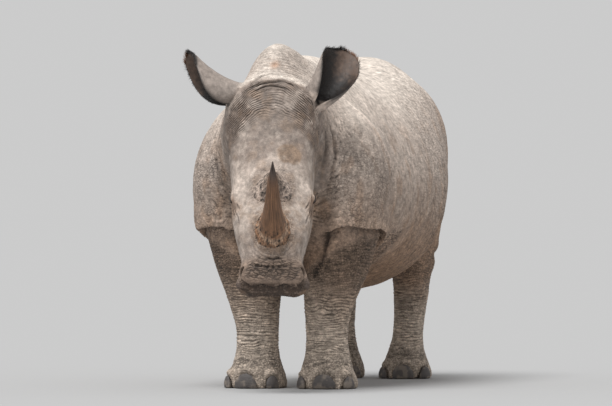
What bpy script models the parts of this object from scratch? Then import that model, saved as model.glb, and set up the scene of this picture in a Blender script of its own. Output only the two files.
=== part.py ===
"""White rhinoceros: a still, life-size model that stands square, with its head lowered.

Metres, +Z up. The animal faces -Y, its left side is +X, and it stands on z = 0.
The flesh is modelled whole, as lofts and muscle masses that are joined and relaxed,
and is then parted by thin cuts into head, neck, trunk, legs and feet.
"""

import math

import bmesh
import bpy
import numpy as np
from mathutils import Matrix, Vector
from mathutils.bvhtree import BVHTree

# Driving dimensions.
GAP = 0.0003  # between pieces that touch
HUMP_TOP = 1.71
CROUP_TOP = 1.685
HEAD_PITCH = math.radians(65)  # of the head's axis, below the horizontal
HEAD_YAW = math.radians(15)  # the head turns to the animal's left
POLL = Vector((0.065, -1.42, 1.478))  # the top of the head, between the ears
EYE_RADIUS = 0.024
EYE_BULGE = 0.009  # how far the eyeball stands out of the head
FOOT_CUT = 0.135  # height of the cut between a leg and its foot
EAR_THICKNESS = 0.012
NAIL_DEPTH = 0.022  # a toenail, of which nearly half stands out of the foot

# How the flesh is meshed.
RING = 36  # points round a loft
VOXEL = 0.014
HEAD_TRIANGLES = 1600
BODY_TRIANGLES = 2900

SIDES = (("left", 1), ("right", -1))

# Along the head, the axis runs from the poll to the lips, and "up" is square to the face.
HEAD_AXIS = Vector(
    (
        math.cos(HEAD_PITCH) * math.sin(HEAD_YAW),
        -math.cos(HEAD_PITCH) * math.cos(HEAD_YAW),
        -math.sin(HEAD_PITCH),
    )
)
HEAD_SIDE = Vector((math.cos(HEAD_YAW), math.sin(HEAD_YAW), 0))
HEAD_UP = HEAD_AXIS.cross(HEAD_SIDE)


def head_point(across, along, up):
    """A point given by its place on the head."""
    return POLL + across * HEAD_SIDE + along * HEAD_AXIS + up * HEAD_UP


def head_matrix(across, along, up):
    """The head's own axes, placed at a point on the head."""
    axes = Matrix((HEAD_SIDE, HEAD_AXIS, HEAD_UP)).transposed()
    return Matrix.Translation(head_point(across, along, up)) @ axes.to_4x4()


# ---------------------------------------------------------------- shapes


def section(high, low, half, widest=0.5, upper=2.0, lower=2.0, yaw=0.0):
    """A ring from a high to a low point of the outline, with the half width given.

    widest is where it is widest, from 0 at low to 1 at high. upper and lower are
    the powers of its two halves: 2 is an ellipse, more is squarer, less is a ridge.
    """
    high, low = Vector(high), Vector(low)
    axis = high - low
    centre = low + widest * axis
    side = Vector((math.cos(yaw), math.sin(yaw), 0))
    ring = []
    for k in range(RING):
        s = math.sin(2 * math.pi * k / RING)
        c = math.cos(2 * math.pi * k / RING)
        power = upper if c > 0 else lower
        reach = (1 - widest if c > 0 else widest) * math.copysign(abs(c) ** (2 / power), c)
        ring.append(centre + half * math.copysign(abs(s) ** (2 / power), s) * side + reach * axis)
    return ring


def eased(stations, steps=4):
    """The stations' values with smooth values between them, by Catmull-Rom curves."""
    rows = np.array(stations, float)
    rows = np.vstack([2 * rows[0] - rows[1], rows, 2 * rows[-1] - rows[-2]])
    out = []
    for before, start, end, after in zip(rows, rows[1:], rows[2:], rows[3:]):
        for t in np.arange(steps) / steps:
            slope = (end - before) * t
            bend = (2 * before - 5 * start + 4 * end - after) * t**2
            twist = (3 * start - before - 3 * end + after) * t**3
            out.append((start + 0.5 * (slope + bend + twist)).tolist())
    out.append(rows[-2].tolist())
    return out


def mesh_of(bm, name):
    """Turns a bmesh into a mesh with its faces pointing out."""
    bmesh.ops.recalc_face_normals(bm, faces=bm.faces)
    mesh = bpy.data.meshes.new(name)
    bm.to_mesh(mesh)
    bm.free()
    return mesh


def loft(rings, name="loft"):
    """A closed mesh through the rings, capped at both ends."""
    bm = bmesh.new()
    rows = [[bm.verts.new(p) for p in ring] for ring in rings]
    for row, after in zip(rows, rows[1:]):
        for k in range(len(row)):
            n = (k + 1) % len(row)
            bm.faces.new((row[k], row[n], after[n], after[k]))
    bm.faces.new(rows[0])
    bm.faces.new(rows[-1])
    return mesh_of(bm, name)


def ellipsoid(centre, radii, matrix=None, name="mass", rings=(24, 16)):
    """A muscle or a pad, with its radii along the axes of matrix."""
    bm = bmesh.new()
    bmesh.ops.create_uvsphere(bm, u_segments=rings[0], v_segments=rings[1], radius=1)
    place = (matrix or Matrix.Identity(4)) @ Matrix.Translation(centre)
    bm.transform(place @ Matrix.Diagonal((*radii, 1)))
    return mesh_of(bm, name)


def turned(centre, pitch=0.0, roll=0.0, yaw=0.0):
    """Axes at a point, turned by degrees about X, then Y, then Z."""
    turn = Matrix.Rotation(math.radians(yaw), 4, "Z") @ Matrix.Rotation(math.radians(roll), 4, "Y")
    return Matrix.Translation(centre) @ turn @ Matrix.Rotation(math.radians(pitch), 4, "X")


def hull(points, name="cutter"):
    """The convex solid round some points, used to cut with."""
    bm = bmesh.new()
    for p in points:
        bm.verts.new(p)
    made = bmesh.ops.convex_hull(bm, input=bm.verts)
    spare = {e for e in made["geom_interior"] + made["geom_unused"] if isinstance(e, bmesh.types.BMVert)}
    bmesh.ops.delete(bm, geom=list(spare), context="VERTS")
    return mesh_of(bm, name)


def mirrored(mesh):
    """A copy of a mesh on the animal's other side."""
    bm = bmesh.new()
    bm.from_mesh(mesh)
    bm.transform(Matrix.Diagonal((-1, 1, 1, 1)))
    return mesh_of(bm, mesh.name)


def joined(meshes, name):
    """Several meshes as one, not yet united."""
    bm = bmesh.new()
    for mesh in meshes:
        bm.from_mesh(mesh)
    out = bpy.data.meshes.new(name)
    bm.to_mesh(out)
    bm.free()
    return out


# ---------------------------------------------------------------- working on meshes


def with_modifiers(mesh, *modifiers):
    """The mesh after the modifiers, each given as its type and its settings."""
    ob = bpy.data.objects.new("work", mesh)
    bpy.context.scene.collection.objects.link(ob)
    for kind, settings in modifiers:
        modifier = ob.modifiers.new(kind, kind)
        for key, value in settings.items():
            setattr(modifier, key, value)
    graph = bpy.context.evaluated_depsgraph_get()
    out = bpy.data.meshes.new_from_object(ob.evaluated_get(graph))
    bpy.data.objects.remove(ob)
    return out


def points_of(mesh):
    points = np.empty(len(mesh.vertices) * 3)
    mesh.vertices.foreach_get("co", points)
    return points.reshape(-1, 3)


def relax(mesh, passes, strength):
    """Smooths a mesh, by a strength from 0 to 1 at each of its points."""
    points = points_of(mesh)
    ends = np.empty(len(mesh.edges) * 2, int)
    mesh.edges.foreach_get("vertices", ends)
    ends = ends.reshape(-1, 2)
    both = np.concatenate([ends[:, 0], ends[:, 1]])
    other = np.concatenate([ends[:, 1], ends[:, 0]])
    count = np.bincount(both, minlength=len(points))[:, None]
    for _ in range(passes):
        total = np.stack([np.bincount(both, points[other, k], len(points)) for k in range(3)], 1)
        points += 0.6 * strength[:, None] * (total / count - points)
    mesh.vertices.foreach_set("co", points.ravel())
    mesh.update()


def thinned(mesh, chosen, triangles):
    """Leaves about so many triangles where chosen, and the rest of the mesh as it is."""
    ends = np.empty(len(mesh.loops), int)
    mesh.loops.foreach_get("vertex_index", ends)
    inside = int(chosen[ends.reshape(-1, 3)].any(axis=1).sum())
    ob = bpy.data.objects.new("work", mesh)
    ob.vertex_groups.clear()
    group = ob.vertex_groups.new(name="chosen")
    group.add(np.flatnonzero(chosen).tolist(), 1.0, "REPLACE")
    bpy.context.scene.collection.objects.link(ob)
    modifier = ob.modifiers.new("thin", "DECIMATE")
    modifier.ratio = 1 - (inside - triangles) / len(mesh.polygons)
    modifier.vertex_group = "chosen"
    modifier.vertex_group_factor = 1  # points that aren't chosen have no weight, and stay
    graph = bpy.context.evaluated_depsgraph_get()
    out = bpy.data.meshes.new_from_object(ob.evaluated_get(graph))
    bpy.data.objects.remove(ob)
    return out


def grown(mesh, distance):
    """A copy of a mesh, moved outwards by a distance."""
    return with_modifiers(mesh.copy(), ("DISPLACE", {"strength": distance, "mid_level": 0}))


def boolean(mesh, cutter, operation, solver="EXACT"):
    """Cuts a mesh by a cutter, or keeps what they share."""
    tool = bpy.data.objects.new("tool", cutter)
    bpy.context.scene.collection.objects.link(tool)
    settings = {"operation": operation, "object": tool, "solver": solver}
    out = with_modifiers(mesh, ("BOOLEAN", settings))
    bpy.data.objects.remove(tool)
    return out


def biggest(mesh):
    """The mesh without any loose crumb that a cut left beside it."""
    bm = bmesh.new()
    bm.from_mesh(mesh)
    left = set(bm.verts)
    bodies = []
    while left:
        body, edge = set(), [left.pop()]
        while edge:
            vert = edge.pop()
            body.add(vert)
            for e in vert.link_edges:
                other = e.other_vert(vert)
                if other in left:
                    left.remove(other)
                    edge.append(other)
        bodies.append(body)
    bodies.sort(key=len)
    bmesh.ops.delete(bm, geom=[v for body in bodies[:-1] for v in body], context="VERTS")
    bmesh.ops.remove_doubles(bm, verts=bm.verts, dist=0.00002)
    bmesh.ops.dissolve_degenerate(bm, edges=bm.edges, dist=0.00002)
    bmesh.ops.triangulate(bm, faces=bm.faces)
    return mesh_of(bm, mesh.name)


def part(mesh, cutter):
    """Parts a mesh at a cutter: what lies inside it, and what lies a gap outside it."""
    inside = boolean(mesh.copy(), cutter, "INTERSECT")
    outside = boolean(mesh, grown(cutter, GAP), "DIFFERENCE")
    return biggest(inside), biggest(outside)


# ---------------------------------------------------------------- the flesh

# Along the trunk: y, height of the back, height of the belly, half width, and
# the height of its widest line and the power of its upper half.
TRUNK = (
    (-1.10, 1.50, 0.86, 0.25, 1.15, 1.9),
    (-1.00, 1.59, 0.75, 0.36, 1.08, 1.75),
    (-0.85, 1.645, 0.65, 0.45, 1.00, 1.65),
    (-0.62, 1.64, 0.57, 0.505, 0.98, 1.65),
    (-0.35, 1.60, 0.51, 0.535, 0.96, 1.8),
    (-0.05, 1.585, 0.47, 0.555, 0.95, 1.95),
    (0.22, 1.61, 0.47, 0.54, 0.96, 2.0),
    (0.45, 1.655, 0.52, 0.50, 1.00, 2.0),
    (0.65, CROUP_TOP, 0.60, 0.45, 1.06, 1.9),
    (0.85, 1.665, 0.68, 0.38, 1.10, 1.9),
    (1.00, 1.595, 0.76, 0.31, 1.12, 1.9),
    (1.10, 1.50, 0.84, 0.24, 1.14, 1.9),
    (1.17, 1.37, 0.98, 0.13, 1.16, 2.0),
)

# Along the neck, as it bends down to the head: its high and low points,
# each y and z, its shift to the left and its half width.
NECK = (
    (-0.72, 1.60, -0.95, 0.72, 0.0, 0.30),
    (-0.95, 1.64, -1.07, 0.80, 0.005, 0.30),
    (-1.16, 1.60, -1.13, 0.86, 0.02, 0.285),
    (-1.31, 1.53, -1.16, 0.93, 0.035, 0.26),
    (-1.43, 1.48, -1.18, 1.00, 0.045, 0.235),
)
NECK_RIDGE = 1.7  # the power of the neck's upper half

# Along the head: distance from the poll, height of the face, depth of the jaw
# below the axis, half width, and the power of the upper half.
HEAD = (
    (-0.08, -0.04, 0.38, 0.200, 2.1),
    (0.02, 0.00, 0.43, 0.235, 2.2),
    (0.14, 0.012, 0.45, 0.232, 2.3),
    (0.30, 0.00, 0.445, 0.214, 2.3),
    (0.44, -0.01, 0.42, 0.200, 2.3),
    (0.56, -0.008, 0.39, 0.200, 2.3),
    (0.68, 0.012, 0.355, 0.193, 2.3),
    (0.78, 0.018, 0.32, 0.172, 2.3),
    (0.87, -0.008, 0.29, 0.150, 2.3),
    (0.93, -0.034, 0.27, 0.154, 2.4),
    (0.98, -0.062, 0.25, 0.172, 2.6),
    (1.015, -0.085, 0.235, 0.170, 3.0),
)
JAW_WIDEST = 0.62  # where the head is widest, between the jaw at 0 and the face at 1

# Down a front leg: height, its middle's distance from the body's middle plane,
# half width, and the y of its front and its back.
FRONT_LEG = (
    (1.10, 0.275, 0.190, -1.02, -0.56),
    (0.95, 0.285, 0.180, -1.03, -0.52),
    (0.80, 0.262, 0.174, -1.02, -0.54),
    (0.68, 0.242, 0.170, -0.995, -0.575),
    (0.58, 0.222, 0.163, -0.975, -0.61),
    (0.49, 0.203, 0.146, -0.955, -0.645),
    (0.40, 0.188, 0.126, -0.94, -0.675),
    (0.30, 0.177, 0.111, -0.915, -0.695),
    (0.21, 0.176, 0.107, -0.90, -0.70),
    (0.14, 0.178, 0.118, -0.92, -0.69),
    (0.08, 0.180, 0.136, -0.94, -0.66),
    (0.03, 0.183, 0.152, -0.96, -0.645),
    (-0.03, 0.184, 0.154, -0.965, -0.64),
)

# Down a hind leg, in the same way.
HIND_LEG = (
    (1.30, 0.200, 0.160, 0.44, 1.04),
    (1.18, 0.207, 0.180, 0.40, 1.10),
    (1.05, 0.215, 0.180, 0.39, 1.13),
    (0.90, 0.220, 0.158, 0.41, 1.13),
    (0.76, 0.220, 0.130, 0.46, 1.10),
    (0.64, 0.215, 0.108, 0.54, 1.07),
    (0.53, 0.208, 0.092, 0.64, 1.045),
    (0.43, 0.194, 0.090, 0.735, 1.04),
    (0.34, 0.187, 0.087, 0.785, 0.995),
    (0.25, 0.182, 0.083, 0.785, 0.955),
    (0.17, 0.177, 0.088, 0.77, 0.945),
    (0.10, 0.177, 0.112, 0.73, 0.96),
    (0.04, 0.179, 0.134, 0.705, 0.985),
    (-0.03, 0.180, 0.136, 0.70, 0.985),
)
LEG_POWER = 2.15  # how square a leg's section is


def trunk_shape():
    rings = []
    for y, top, bottom, half, widest, power in eased(TRUNK):
        level = (widest - bottom) / (top - bottom)
        rings.append(section((0, y, top), (0, y, bottom), half, level, power, 2.0))
    return loft(rings)


def neck_shape():
    rings = []
    for high_y, high_z, low_y, low_z, shift, half in eased(NECK):
        turn = HEAD_YAW * shift / NECK[-1][4]
        high, low = (shift, high_y, high_z), (shift * 0.3, low_y, low_z)
        rings.append(section(high, low, half, 0.5, NECK_RIDGE, 2.0, turn))
    return loft(rings)


def head_shape():
    rings = []
    for along, top, depth, half, power in eased(HEAD):
        high, low = head_point(0, along, top), head_point(0, along, -depth)
        rings.append(section(high, low, half, JAW_WIDEST, power, 1.9, HEAD_YAW))
    return loft(rings)


def leg_shape(stations):
    rings = []
    for z, x, half, front, back in eased(stations):
        rings.append(section((x, front, z), (x, back, z), half, 0.5, LEG_POWER, LEG_POWER))
    return loft(rings)


# Pads and rims that stand out on the head: place, then radii, across, along and up.
HEAD_PADS = (
    ((0, 0.76, 0.0), (0.09, 0.14, 0.035)),  # under the front horn
    ((0, 0.50, -0.015), (0.11, 0.12, 0.03)),  # under the rear horn
    ((0, 0.992, -0.150), (0.188, 0.045, 0.075)),  # upper lip
    ((0, 0.945, -0.215), (0.125, 0.080, 0.055)),  # chin
    ((0, 0.02, -0.03), (0.165, 0.13, 0.06)),  # crest of the poll
)
# The same for pads on each side of the head.
HEAD_PAIRS = (
    ((0.152, 0.535, -0.10), (0.052, 0.075, 0.055)),  # brow
    ((0.118, 0.945, -0.095), (0.05, 0.06, 0.055)),  # nostril
    ((0.125, 0.34, -0.25), (0.085, 0.20, 0.14)),  # cheek
    ((0.170, 0.02, -0.10), (0.07, 0.09, 0.10)),  # ear's root
)
# Muscles of the left side: place, radii, and turns in degrees about X and Y.
MUSCLES = (
    ((0.262, -0.80, 1.06), (0.238, 0.32, 0.38), 12, -12),  # shoulder
    ((0.325, -0.76, 0.94), (0.152, 0.26, 0.17), 0, 0),  # upper arm
    ((0.215, 0.70, 1.17), (0.205, 0.38, 0.38), -8, 0),  # rump
    ((0.270, 0.43, 0.69), (0.050, 0.17, 0.11), 8, 0),  # fold of the flank
)
HUMP_RADII = (0.165, 0.37, 0.34)


def head_masses():
    masses = [ellipsoid(place, radii, head_matrix(0, 0, 0)) for place, radii in HEAD_PADS]
    for (across, along, up), radii in HEAD_PAIRS:
        for _, side in SIDES:
            masses.append(ellipsoid((side * across, along, up), radii, head_matrix(0, 0, 0)))
    return masses


def muscles():
    return [ellipsoid((0, 0, 0), radii, turned(place, pitch, roll)) for place, radii, pitch, roll in MUSCLES]


def on_head(points):
    """From 0 at the neck to 1 on the head."""
    along = (points - np.array(POLL)) @ np.array(HEAD_AXIS)
    return (points[:, 1] < -1.20) * np.clip(along / 0.25, 0, 1)


def flesh():
    """The whole body as one relaxed mesh of triangles, finest on the head, with flat soles."""
    left = [leg_shape(FRONT_LEG), leg_shape(HIND_LEG)] + muscles()
    hump = ellipsoid((0, 0, 0), HUMP_RADII, turned((-0.01, -0.99, HUMP_TOP - HUMP_RADII[2] + 0.007), -8, 0))
    throat = ellipsoid((0.02, -1.10, 0.94), (0.12, 0.12, 0.15))
    middle = [trunk_shape(), neck_shape(), head_shape(), hump, throat] + head_masses()
    both = left + [mirrored(mesh) for mesh in left] + middle
    mesh = with_modifiers(joined(both, "flesh"), ("REMESH", {"mode": "VOXEL", "voxel_size": VOXEL}))

    points = points_of(mesh)
    on_foot = np.clip((0.25 - points[:, 2]) / 0.1, 0, 1) * (points[:, 1] > -1.20)
    relax(mesh, 34, 1 - 0.8 * np.maximum(on_head(points), on_foot))

    mesh = with_modifiers(mesh, ("TRIANGULATE", {}))
    mesh = thinned(mesh, on_head(points_of(mesh)) > 0.1, HEAD_TRIANGLES)
    mesh = thinned(mesh, on_head(points_of(mesh)) <= 0.1, BODY_TRIANGLES)
    return boolean(mesh, block((-3, 3), (-3, 3), (-1, 0)), "DIFFERENCE")


# ---------------------------------------------------------------- ears, horns, eyes, nails and tail

# Along an ear: how far from its root to its tip, its radius, and half the arc of
# its rolled section in degrees.
EAR = (
    (0.00, 0.042, 165),
    (0.25, 0.075, 133),
    (0.50, 0.094, 107),
    (0.75, 0.107, 78),
    (0.97, 0.106, 50),
    (1.03, 0.090, 36),
)
EAR_BOW = 0.024  # how far its back bends towards its opening
EAR_SKEW = 0.19  # how much longer its outer rim is than its inner one

# Each ear's root and tip: to the animal's left, back and up from the poll, then
# the way that it opens: to the side, forward and up.
EARS = {
    "left": ((0.165, 0.09, -0.085), (0.323, 0.19, 0.190), (0.49, 0.87, 0.05)),
    "right": ((-0.110, 0.09, 0.005), (-0.394, 0.11, 0.176), (-0.50, 0.14, -0.85)),
}

# Along a horn: share of its length, half its width, and half its length along the face.
FRONT_HORN = (
    (-0.08, 0.082, 0.128),
    (0.03, 0.078, 0.120),
    (0.12, 0.060, 0.090),
    (0.30, 0.044, 0.058),
    (0.55, 0.033, 0.039),
    (0.80, 0.020, 0.023),
    (1.00, 0.003, 0.003),
)
REAR_HORN = (
    (-0.25, 0.100, 0.105),
    (0.05, 0.096, 0.100),
    (0.35, 0.074, 0.076),
    (0.65, 0.046, 0.048),
    (0.88, 0.022, 0.024),
    (1.00, 0.004, 0.004),
)

# Down the tail: y, z, and its half width, to the tip of the tuft.
TAIL = (
    (1.06, 1.40, 0.060),
    (1.17, 1.31, 0.050),
    (1.225, 1.17, 0.037),
    (1.24, 1.02, 0.029),
    (1.245, 0.88, 0.024),
    (1.25, 0.76, 0.028),
    (1.25, 0.67, 0.030),
    (1.25, 0.59, 0.008),
)

# The nails of a foot: the angle outwards from its front, half width and height.
NAILS = (("front", 6, 0.068, 0.072), ("outer", 62, 0.046, 0.060), ("inner", -50, 0.046, 0.060))


def block(xs, ys, zs):
    return hull([(x, y, z) for x in xs for y in ys for z in zs])


def ear_point(across, back, up):
    """A point given to the left, back and up from the poll, by the way the head is turned."""
    behind = Vector((-math.sin(HEAD_YAW), math.cos(HEAD_YAW), 0))
    return POLL + across * HEAD_SIDE + back * behind + Vector((0, 0, up))


def ear_shape(side, sign):
    root, tip, way = EARS[side]
    root, tip = ear_point(*root), ear_point(*tip)
    axis = (tip - root).normalized()
    opening = ear_point(way[0], -way[1], way[2]) - POLL
    opening = (opening - opening.dot(axis) * axis).normalized()
    across = axis.cross(opening)
    bm = bmesh.new()
    rows = []
    columns = 7
    for share, radius, arc in eased(EAR, 1):
        bow = EAR_BOW * math.sin(math.pi * min(share, 1))
        row = []
        for k in range(columns + 1):
            turn = 2 * k / columns - 1
            angle = math.radians(arc) * turn
            spine = root.lerp(tip, share * (1 + sign * EAR_SKEW / 2 * turn)) + bow * opening
            reach = (1 - math.cos(angle)) * opening + math.sin(angle) * across
            row.append(bm.verts.new(spine + radius * reach))
        rows.append(row)
    for row, after in zip(rows, rows[1:]):
        for k in range(columns):
            bm.faces.new((row[k], row[k + 1], after[k + 1], after[k]))
    sheet = bpy.data.meshes.new("ear")
    bm.to_mesh(sheet)
    bm.free()
    return with_modifiers(sheet, ("SOLIDIFY", {"thickness": EAR_THICKNESS, "offset": 0}))


def horn_shape(stations, base, tip, lean, points=12):
    """A horn from its base to its tip, both along and up on the head, that leans back by a curve."""
    rings = []
    for share, half, length in eased(stations, 1):
        along = base[0] + (tip[0] - base[0]) * share - lean * math.sin(math.pi * max(share, 0))
        up = base[1] + (tip[1] - base[1]) * share
        ring = []
        for k in range(points):
            turn = 2 * math.pi * k / points
            ring.append(head_point(half * math.sin(turn), along + length * math.cos(turn), up))
        rings.append(ring)
    return loft(rings)


def tail_shape():
    rings = []
    for y, z, half in eased(TAIL, 1):
        ring = []
        for k in range(8):
            turn = 2 * math.pi * k / 8
            ring.append((half * math.cos(turn), y + half * math.sin(turn), z))
        rings.append(ring)
    return loft(rings)


def surface_point(mesh, start, way):
    """Where a line from outside first meets a mesh."""
    bm = bmesh.new()
    bm.from_mesh(mesh)
    tree = BVHTree.FromBMesh(bm)
    bm.free()
    return tree.ray_cast(start, way)[0]


def eye_shape(head, side):
    outside = head_point(side * 0.4, 0.545, -0.105)
    front = surface_point(head, outside, -side * HEAD_SIDE)
    centre = front - side * (EYE_RADIUS - EYE_BULGE) * HEAD_SIDE
    return ellipsoid(centre, (EYE_RADIUS,) * 3, rings=(12, 7))


def nail_shape(foot, middle, angle, half, height):
    """A toenail on the front of a foot, with a flat lower edge on the floor."""
    way = Vector((math.sin(math.radians(angle)), -math.cos(math.radians(angle)), 0))
    start = Vector((*middle, 0.03)) + 0.6 * way
    front = surface_point(foot, start, -way)
    place = turned((front.x, front.y, 0.012), yaw=angle)
    nail = ellipsoid((0, 0.002, 0), (half, NAIL_DEPTH, height), place, rings=(8, 5))
    return biggest(boolean(nail, block((-3, 3), (-3, 3), (-1, 0)), "DIFFERENCE"))


# ---------------------------------------------------------------- parting the flesh

HEAD_CUT = ((-0.10, 0.60), (-0.05, 0.03), (0.30, -0.47), (0.40, -0.60), (1.40, -0.60), (1.40, 0.60))
NECK_CUT = ((-0.86, 1.95), (-1.075, 0.60), (-1.90, 0.60), (-2.20, 1.95))
# The upper corners of what is cut out as a leg: distance from the middle, y and z.
FRONT_LEG_CUT = ((0, -1.30, 0.53), (0, -0.44, 0.53), (0.60, -1.30, 0.86), (0.60, -0.44, 0.86))
HIND_LEG_CUT = ((0, 0.68, 0.57), (0, 1.40, 0.62), (0.60, 0.36, 0.98), (0.60, 1.40, 1.00))


def leg_cutter(corners, side):
    """Everything below the slanting top of a leg, on one side."""
    inner = 0.004
    points = [(side * max(x, inner), y, z) for x, y, z in corners]
    return hull(points + [(x, y, -0.5) for x, y, _ in points])


def foot_cutter(corners, side):
    ys = (min(y for _, y, _ in corners), max(y for _, y, _ in corners))
    return block((0, side * 0.7), ys, (-0.5, FOOT_CUT))


def parted(mesh):
    """The flesh as its named parts."""
    parts = {}
    neck_cutter = hull([(x, y, z) for x in (-0.7, 0.7) for y, z in NECK_CUT])
    head_cutter = hull([head_point(x, along, up) for x in (-0.5, 0.5) for along, up in HEAD_CUT])
    parts["head"], mesh = part(mesh, head_cutter)
    for side, sign in SIDES:
        for end, corners in (("front", FRONT_LEG_CUT), ("hind", HIND_LEG_CUT)):
            leg, mesh = part(mesh, leg_cutter(corners, sign))
            foot, leg = part(leg, foot_cutter(corners, sign))
            parts[f"leg_{end}_{side}"] = leg
            parts[f"foot_{end}_{side}"] = foot
    parts["neck"], parts["trunk"] = part(mesh, neck_cutter)
    return parts


def fitted(piece, *others, solver="EXACT"):
    """A piece without what its neighbours fill, a gap clear of them."""
    for other in others:
        piece = boolean(piece, grown(other, GAP), "DIFFERENCE", solver)
    return biggest(piece)


def all_parts():
    parts = parted(flesh())
    for side, sign in SIDES:
        eye = eye_shape(parts["head"], sign)
        parts["head"] = fitted(parts["head"], eye)
        parts[f"eye_{side}"] = eye
    for side, sign in SIDES:
        ear = ear_shape(side, sign)
        parts[f"ear_{side}"] = fitted(ear, parts["head"], parts["neck"], parts["trunk"], solver="MANIFOLD")
    horns = {
        "horn_front": horn_shape(FRONT_HORN, (0.765, 0.0), (0.60, 0.44), -0.03),
        "horn_rear": horn_shape(REAR_HORN, (0.505, -0.01), (0.47, 0.145), 0),
    }
    for name, horn in horns.items():
        parts[name] = fitted(horn, parts["head"])
    parts["tail"] = fitted(tail_shape(), parts["trunk"])
    for side, sign in SIDES:
        for end, middle in (("front", (0.185, -0.815)), ("hind", (0.180, 0.84))):
            foot = f"foot_{end}_{side}"
            for name, angle, half, height in NAILS:
                nail = nail_shape(parts[foot], (sign * middle[0], middle[1]), sign * angle, half, height)
                parts[foot] = fitted(parts[foot], nail)
                parts[f"nail_{end}_{side}_{name}"] = nail
    return parts


# ---------------------------------------------------------------- materials and the scene

# Each material's colour and roughness, and which parts wear it.
SKIN = ("skin", (0.42, 0.37, 0.32), 0.85)
MATERIALS = {
    "horn": ("horn", (0.16, 0.11, 0.08), 0.6),
    "nail": ("nail", (0.07, 0.07, 0.08), 0.5),
    "eye": ("eye", (0.02, 0.015, 0.01), 0.1),
}


def dress(ob, name):
    """Gives a part its own material."""
    kind, colour, roughness = MATERIALS.get(name.split("_")[0], SKIN)
    material = bpy.data.materials.new(f"{kind}_{name}")
    material.use_nodes = True
    shader = material.node_tree.nodes["Principled BSDF"]
    shader.inputs["Base Color"].default_value = (*colour, 1)
    shader.inputs["Roughness"].default_value = roughness
    shader.inputs["Metallic"].default_value = 0
    ob.data.materials.clear()
    ob.data.materials.append(material)


def main():
    for ob in list(bpy.data.objects):
        bpy.data.objects.remove(ob)
    parts = all_parts()
    every = np.vstack([points_of(mesh) for mesh in parts.values()])
    middle = (every.min(axis=0) + every.max(axis=0)) / 2
    collection = bpy.data.collections.new("white_rhinoceros")
    bpy.context.scene.collection.children.link(collection)
    for name, mesh in parts.items():
        mesh.transform(Matrix.Translation((-middle[0], -middle[1], 0)))
        mesh.name = name
        ob = bpy.data.objects.new(name, mesh)
        dress(ob, name)
        collection.objects.link(ob)


main()
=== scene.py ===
"""White rhinoceros: the looks of the still, life-size model.

Metres, +Z up. The animal faces -Y and its left side is +X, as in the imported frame.
One skin replaces the flesh: the frame's solids are joined, remeshed and relaxed, the
ears and the tail are joined on, and its folds, lids, nostrils and wrinkles are sculpted
as displacements. Horns, nails and eyes are pieces of their own, and so is the hair:
the ears' fringes and inner hair, the lashes and the tail's tuft.
"""

import itertools
import math

import bmesh
import bpy
import numpy as np
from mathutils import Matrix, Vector
from mathutils.bvhtree import BVHTree
from mathutils.kdtree import KDTree


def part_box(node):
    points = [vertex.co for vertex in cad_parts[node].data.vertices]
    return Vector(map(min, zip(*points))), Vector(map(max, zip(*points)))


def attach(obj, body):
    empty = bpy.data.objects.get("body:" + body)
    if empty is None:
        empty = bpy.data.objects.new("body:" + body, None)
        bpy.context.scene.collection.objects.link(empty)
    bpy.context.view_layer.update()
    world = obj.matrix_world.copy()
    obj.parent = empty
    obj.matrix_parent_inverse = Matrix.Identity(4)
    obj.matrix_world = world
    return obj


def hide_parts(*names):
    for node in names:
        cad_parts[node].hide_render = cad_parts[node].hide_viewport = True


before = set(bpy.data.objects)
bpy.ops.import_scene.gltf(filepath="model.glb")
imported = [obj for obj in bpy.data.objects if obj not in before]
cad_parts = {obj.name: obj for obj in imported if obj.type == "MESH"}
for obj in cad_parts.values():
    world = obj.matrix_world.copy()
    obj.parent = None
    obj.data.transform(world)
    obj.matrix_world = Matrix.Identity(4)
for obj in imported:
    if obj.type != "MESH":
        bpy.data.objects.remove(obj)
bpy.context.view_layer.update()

SIDES = (("left", 1), ("right", -1))
ENDS = ("front", "hind")
LIMBS = [f"{part}_{end}_{side}" for part in ("leg", "foot") for end in ENDS for side, _ in SIDES]
FLESH = ["head", "neck", "trunk"] + LIMBS
NAILS = [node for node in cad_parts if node.startswith("nail")]
VOXEL = 0.016  # the first, coarse skin

# ---------------------------------------------------------------- places on the animal

HEAD_PITCH = math.radians(65)  # of the head's axis, below the horizontal
HEAD_YAW = math.radians(15)  # the head turns to the animal's left
EYE_ALONG, EYE_UP = 0.545, -0.105  # the eyes' place on the head

HEAD_AXIS = np.array(
    (
        math.cos(HEAD_PITCH) * math.sin(HEAD_YAW),
        -math.cos(HEAD_PITCH) * math.cos(HEAD_YAW),
        -math.sin(HEAD_PITCH),
    )
)
HEAD_SIDE = np.array((math.cos(HEAD_YAW), math.sin(HEAD_YAW), 0.0))
HEAD_UP = np.cross(HEAD_AXIS, HEAD_SIDE)
HEAD_BACK = np.array((-math.sin(HEAD_YAW), math.cos(HEAD_YAW), 0.0))


def centre(node):
    """The middle of a CAD node's box."""
    low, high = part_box(node)
    return (np.array(low) + np.array(high)) / 2


EYES = {side: centre(f"eye_{side}") for side, _ in SIDES}
POLL = sum(EYES.values()) / 2 - EYE_ALONG * HEAD_AXIS - EYE_UP * HEAD_UP
FORE_Y = (centre("foot_front_left")[1] + centre("foot_front_right")[1]) / 2


def head_point(across, along, up):
    """A point given by its place on the head: from the poll, along the face, and square to it."""
    return POLL + across * HEAD_SIDE + along * HEAD_AXIS + up * HEAD_UP


def head_places(points):
    """Points' places on the head, as columns across, along and up."""
    return (points - POLL) @ np.stack([HEAD_SIDE, HEAD_AXIS, HEAD_UP], 1)


def body_point(across, back, z):
    """A point given by its distance to the left, behind the front feet, and its height."""
    return np.array((across, FORE_Y + back, z))


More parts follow.
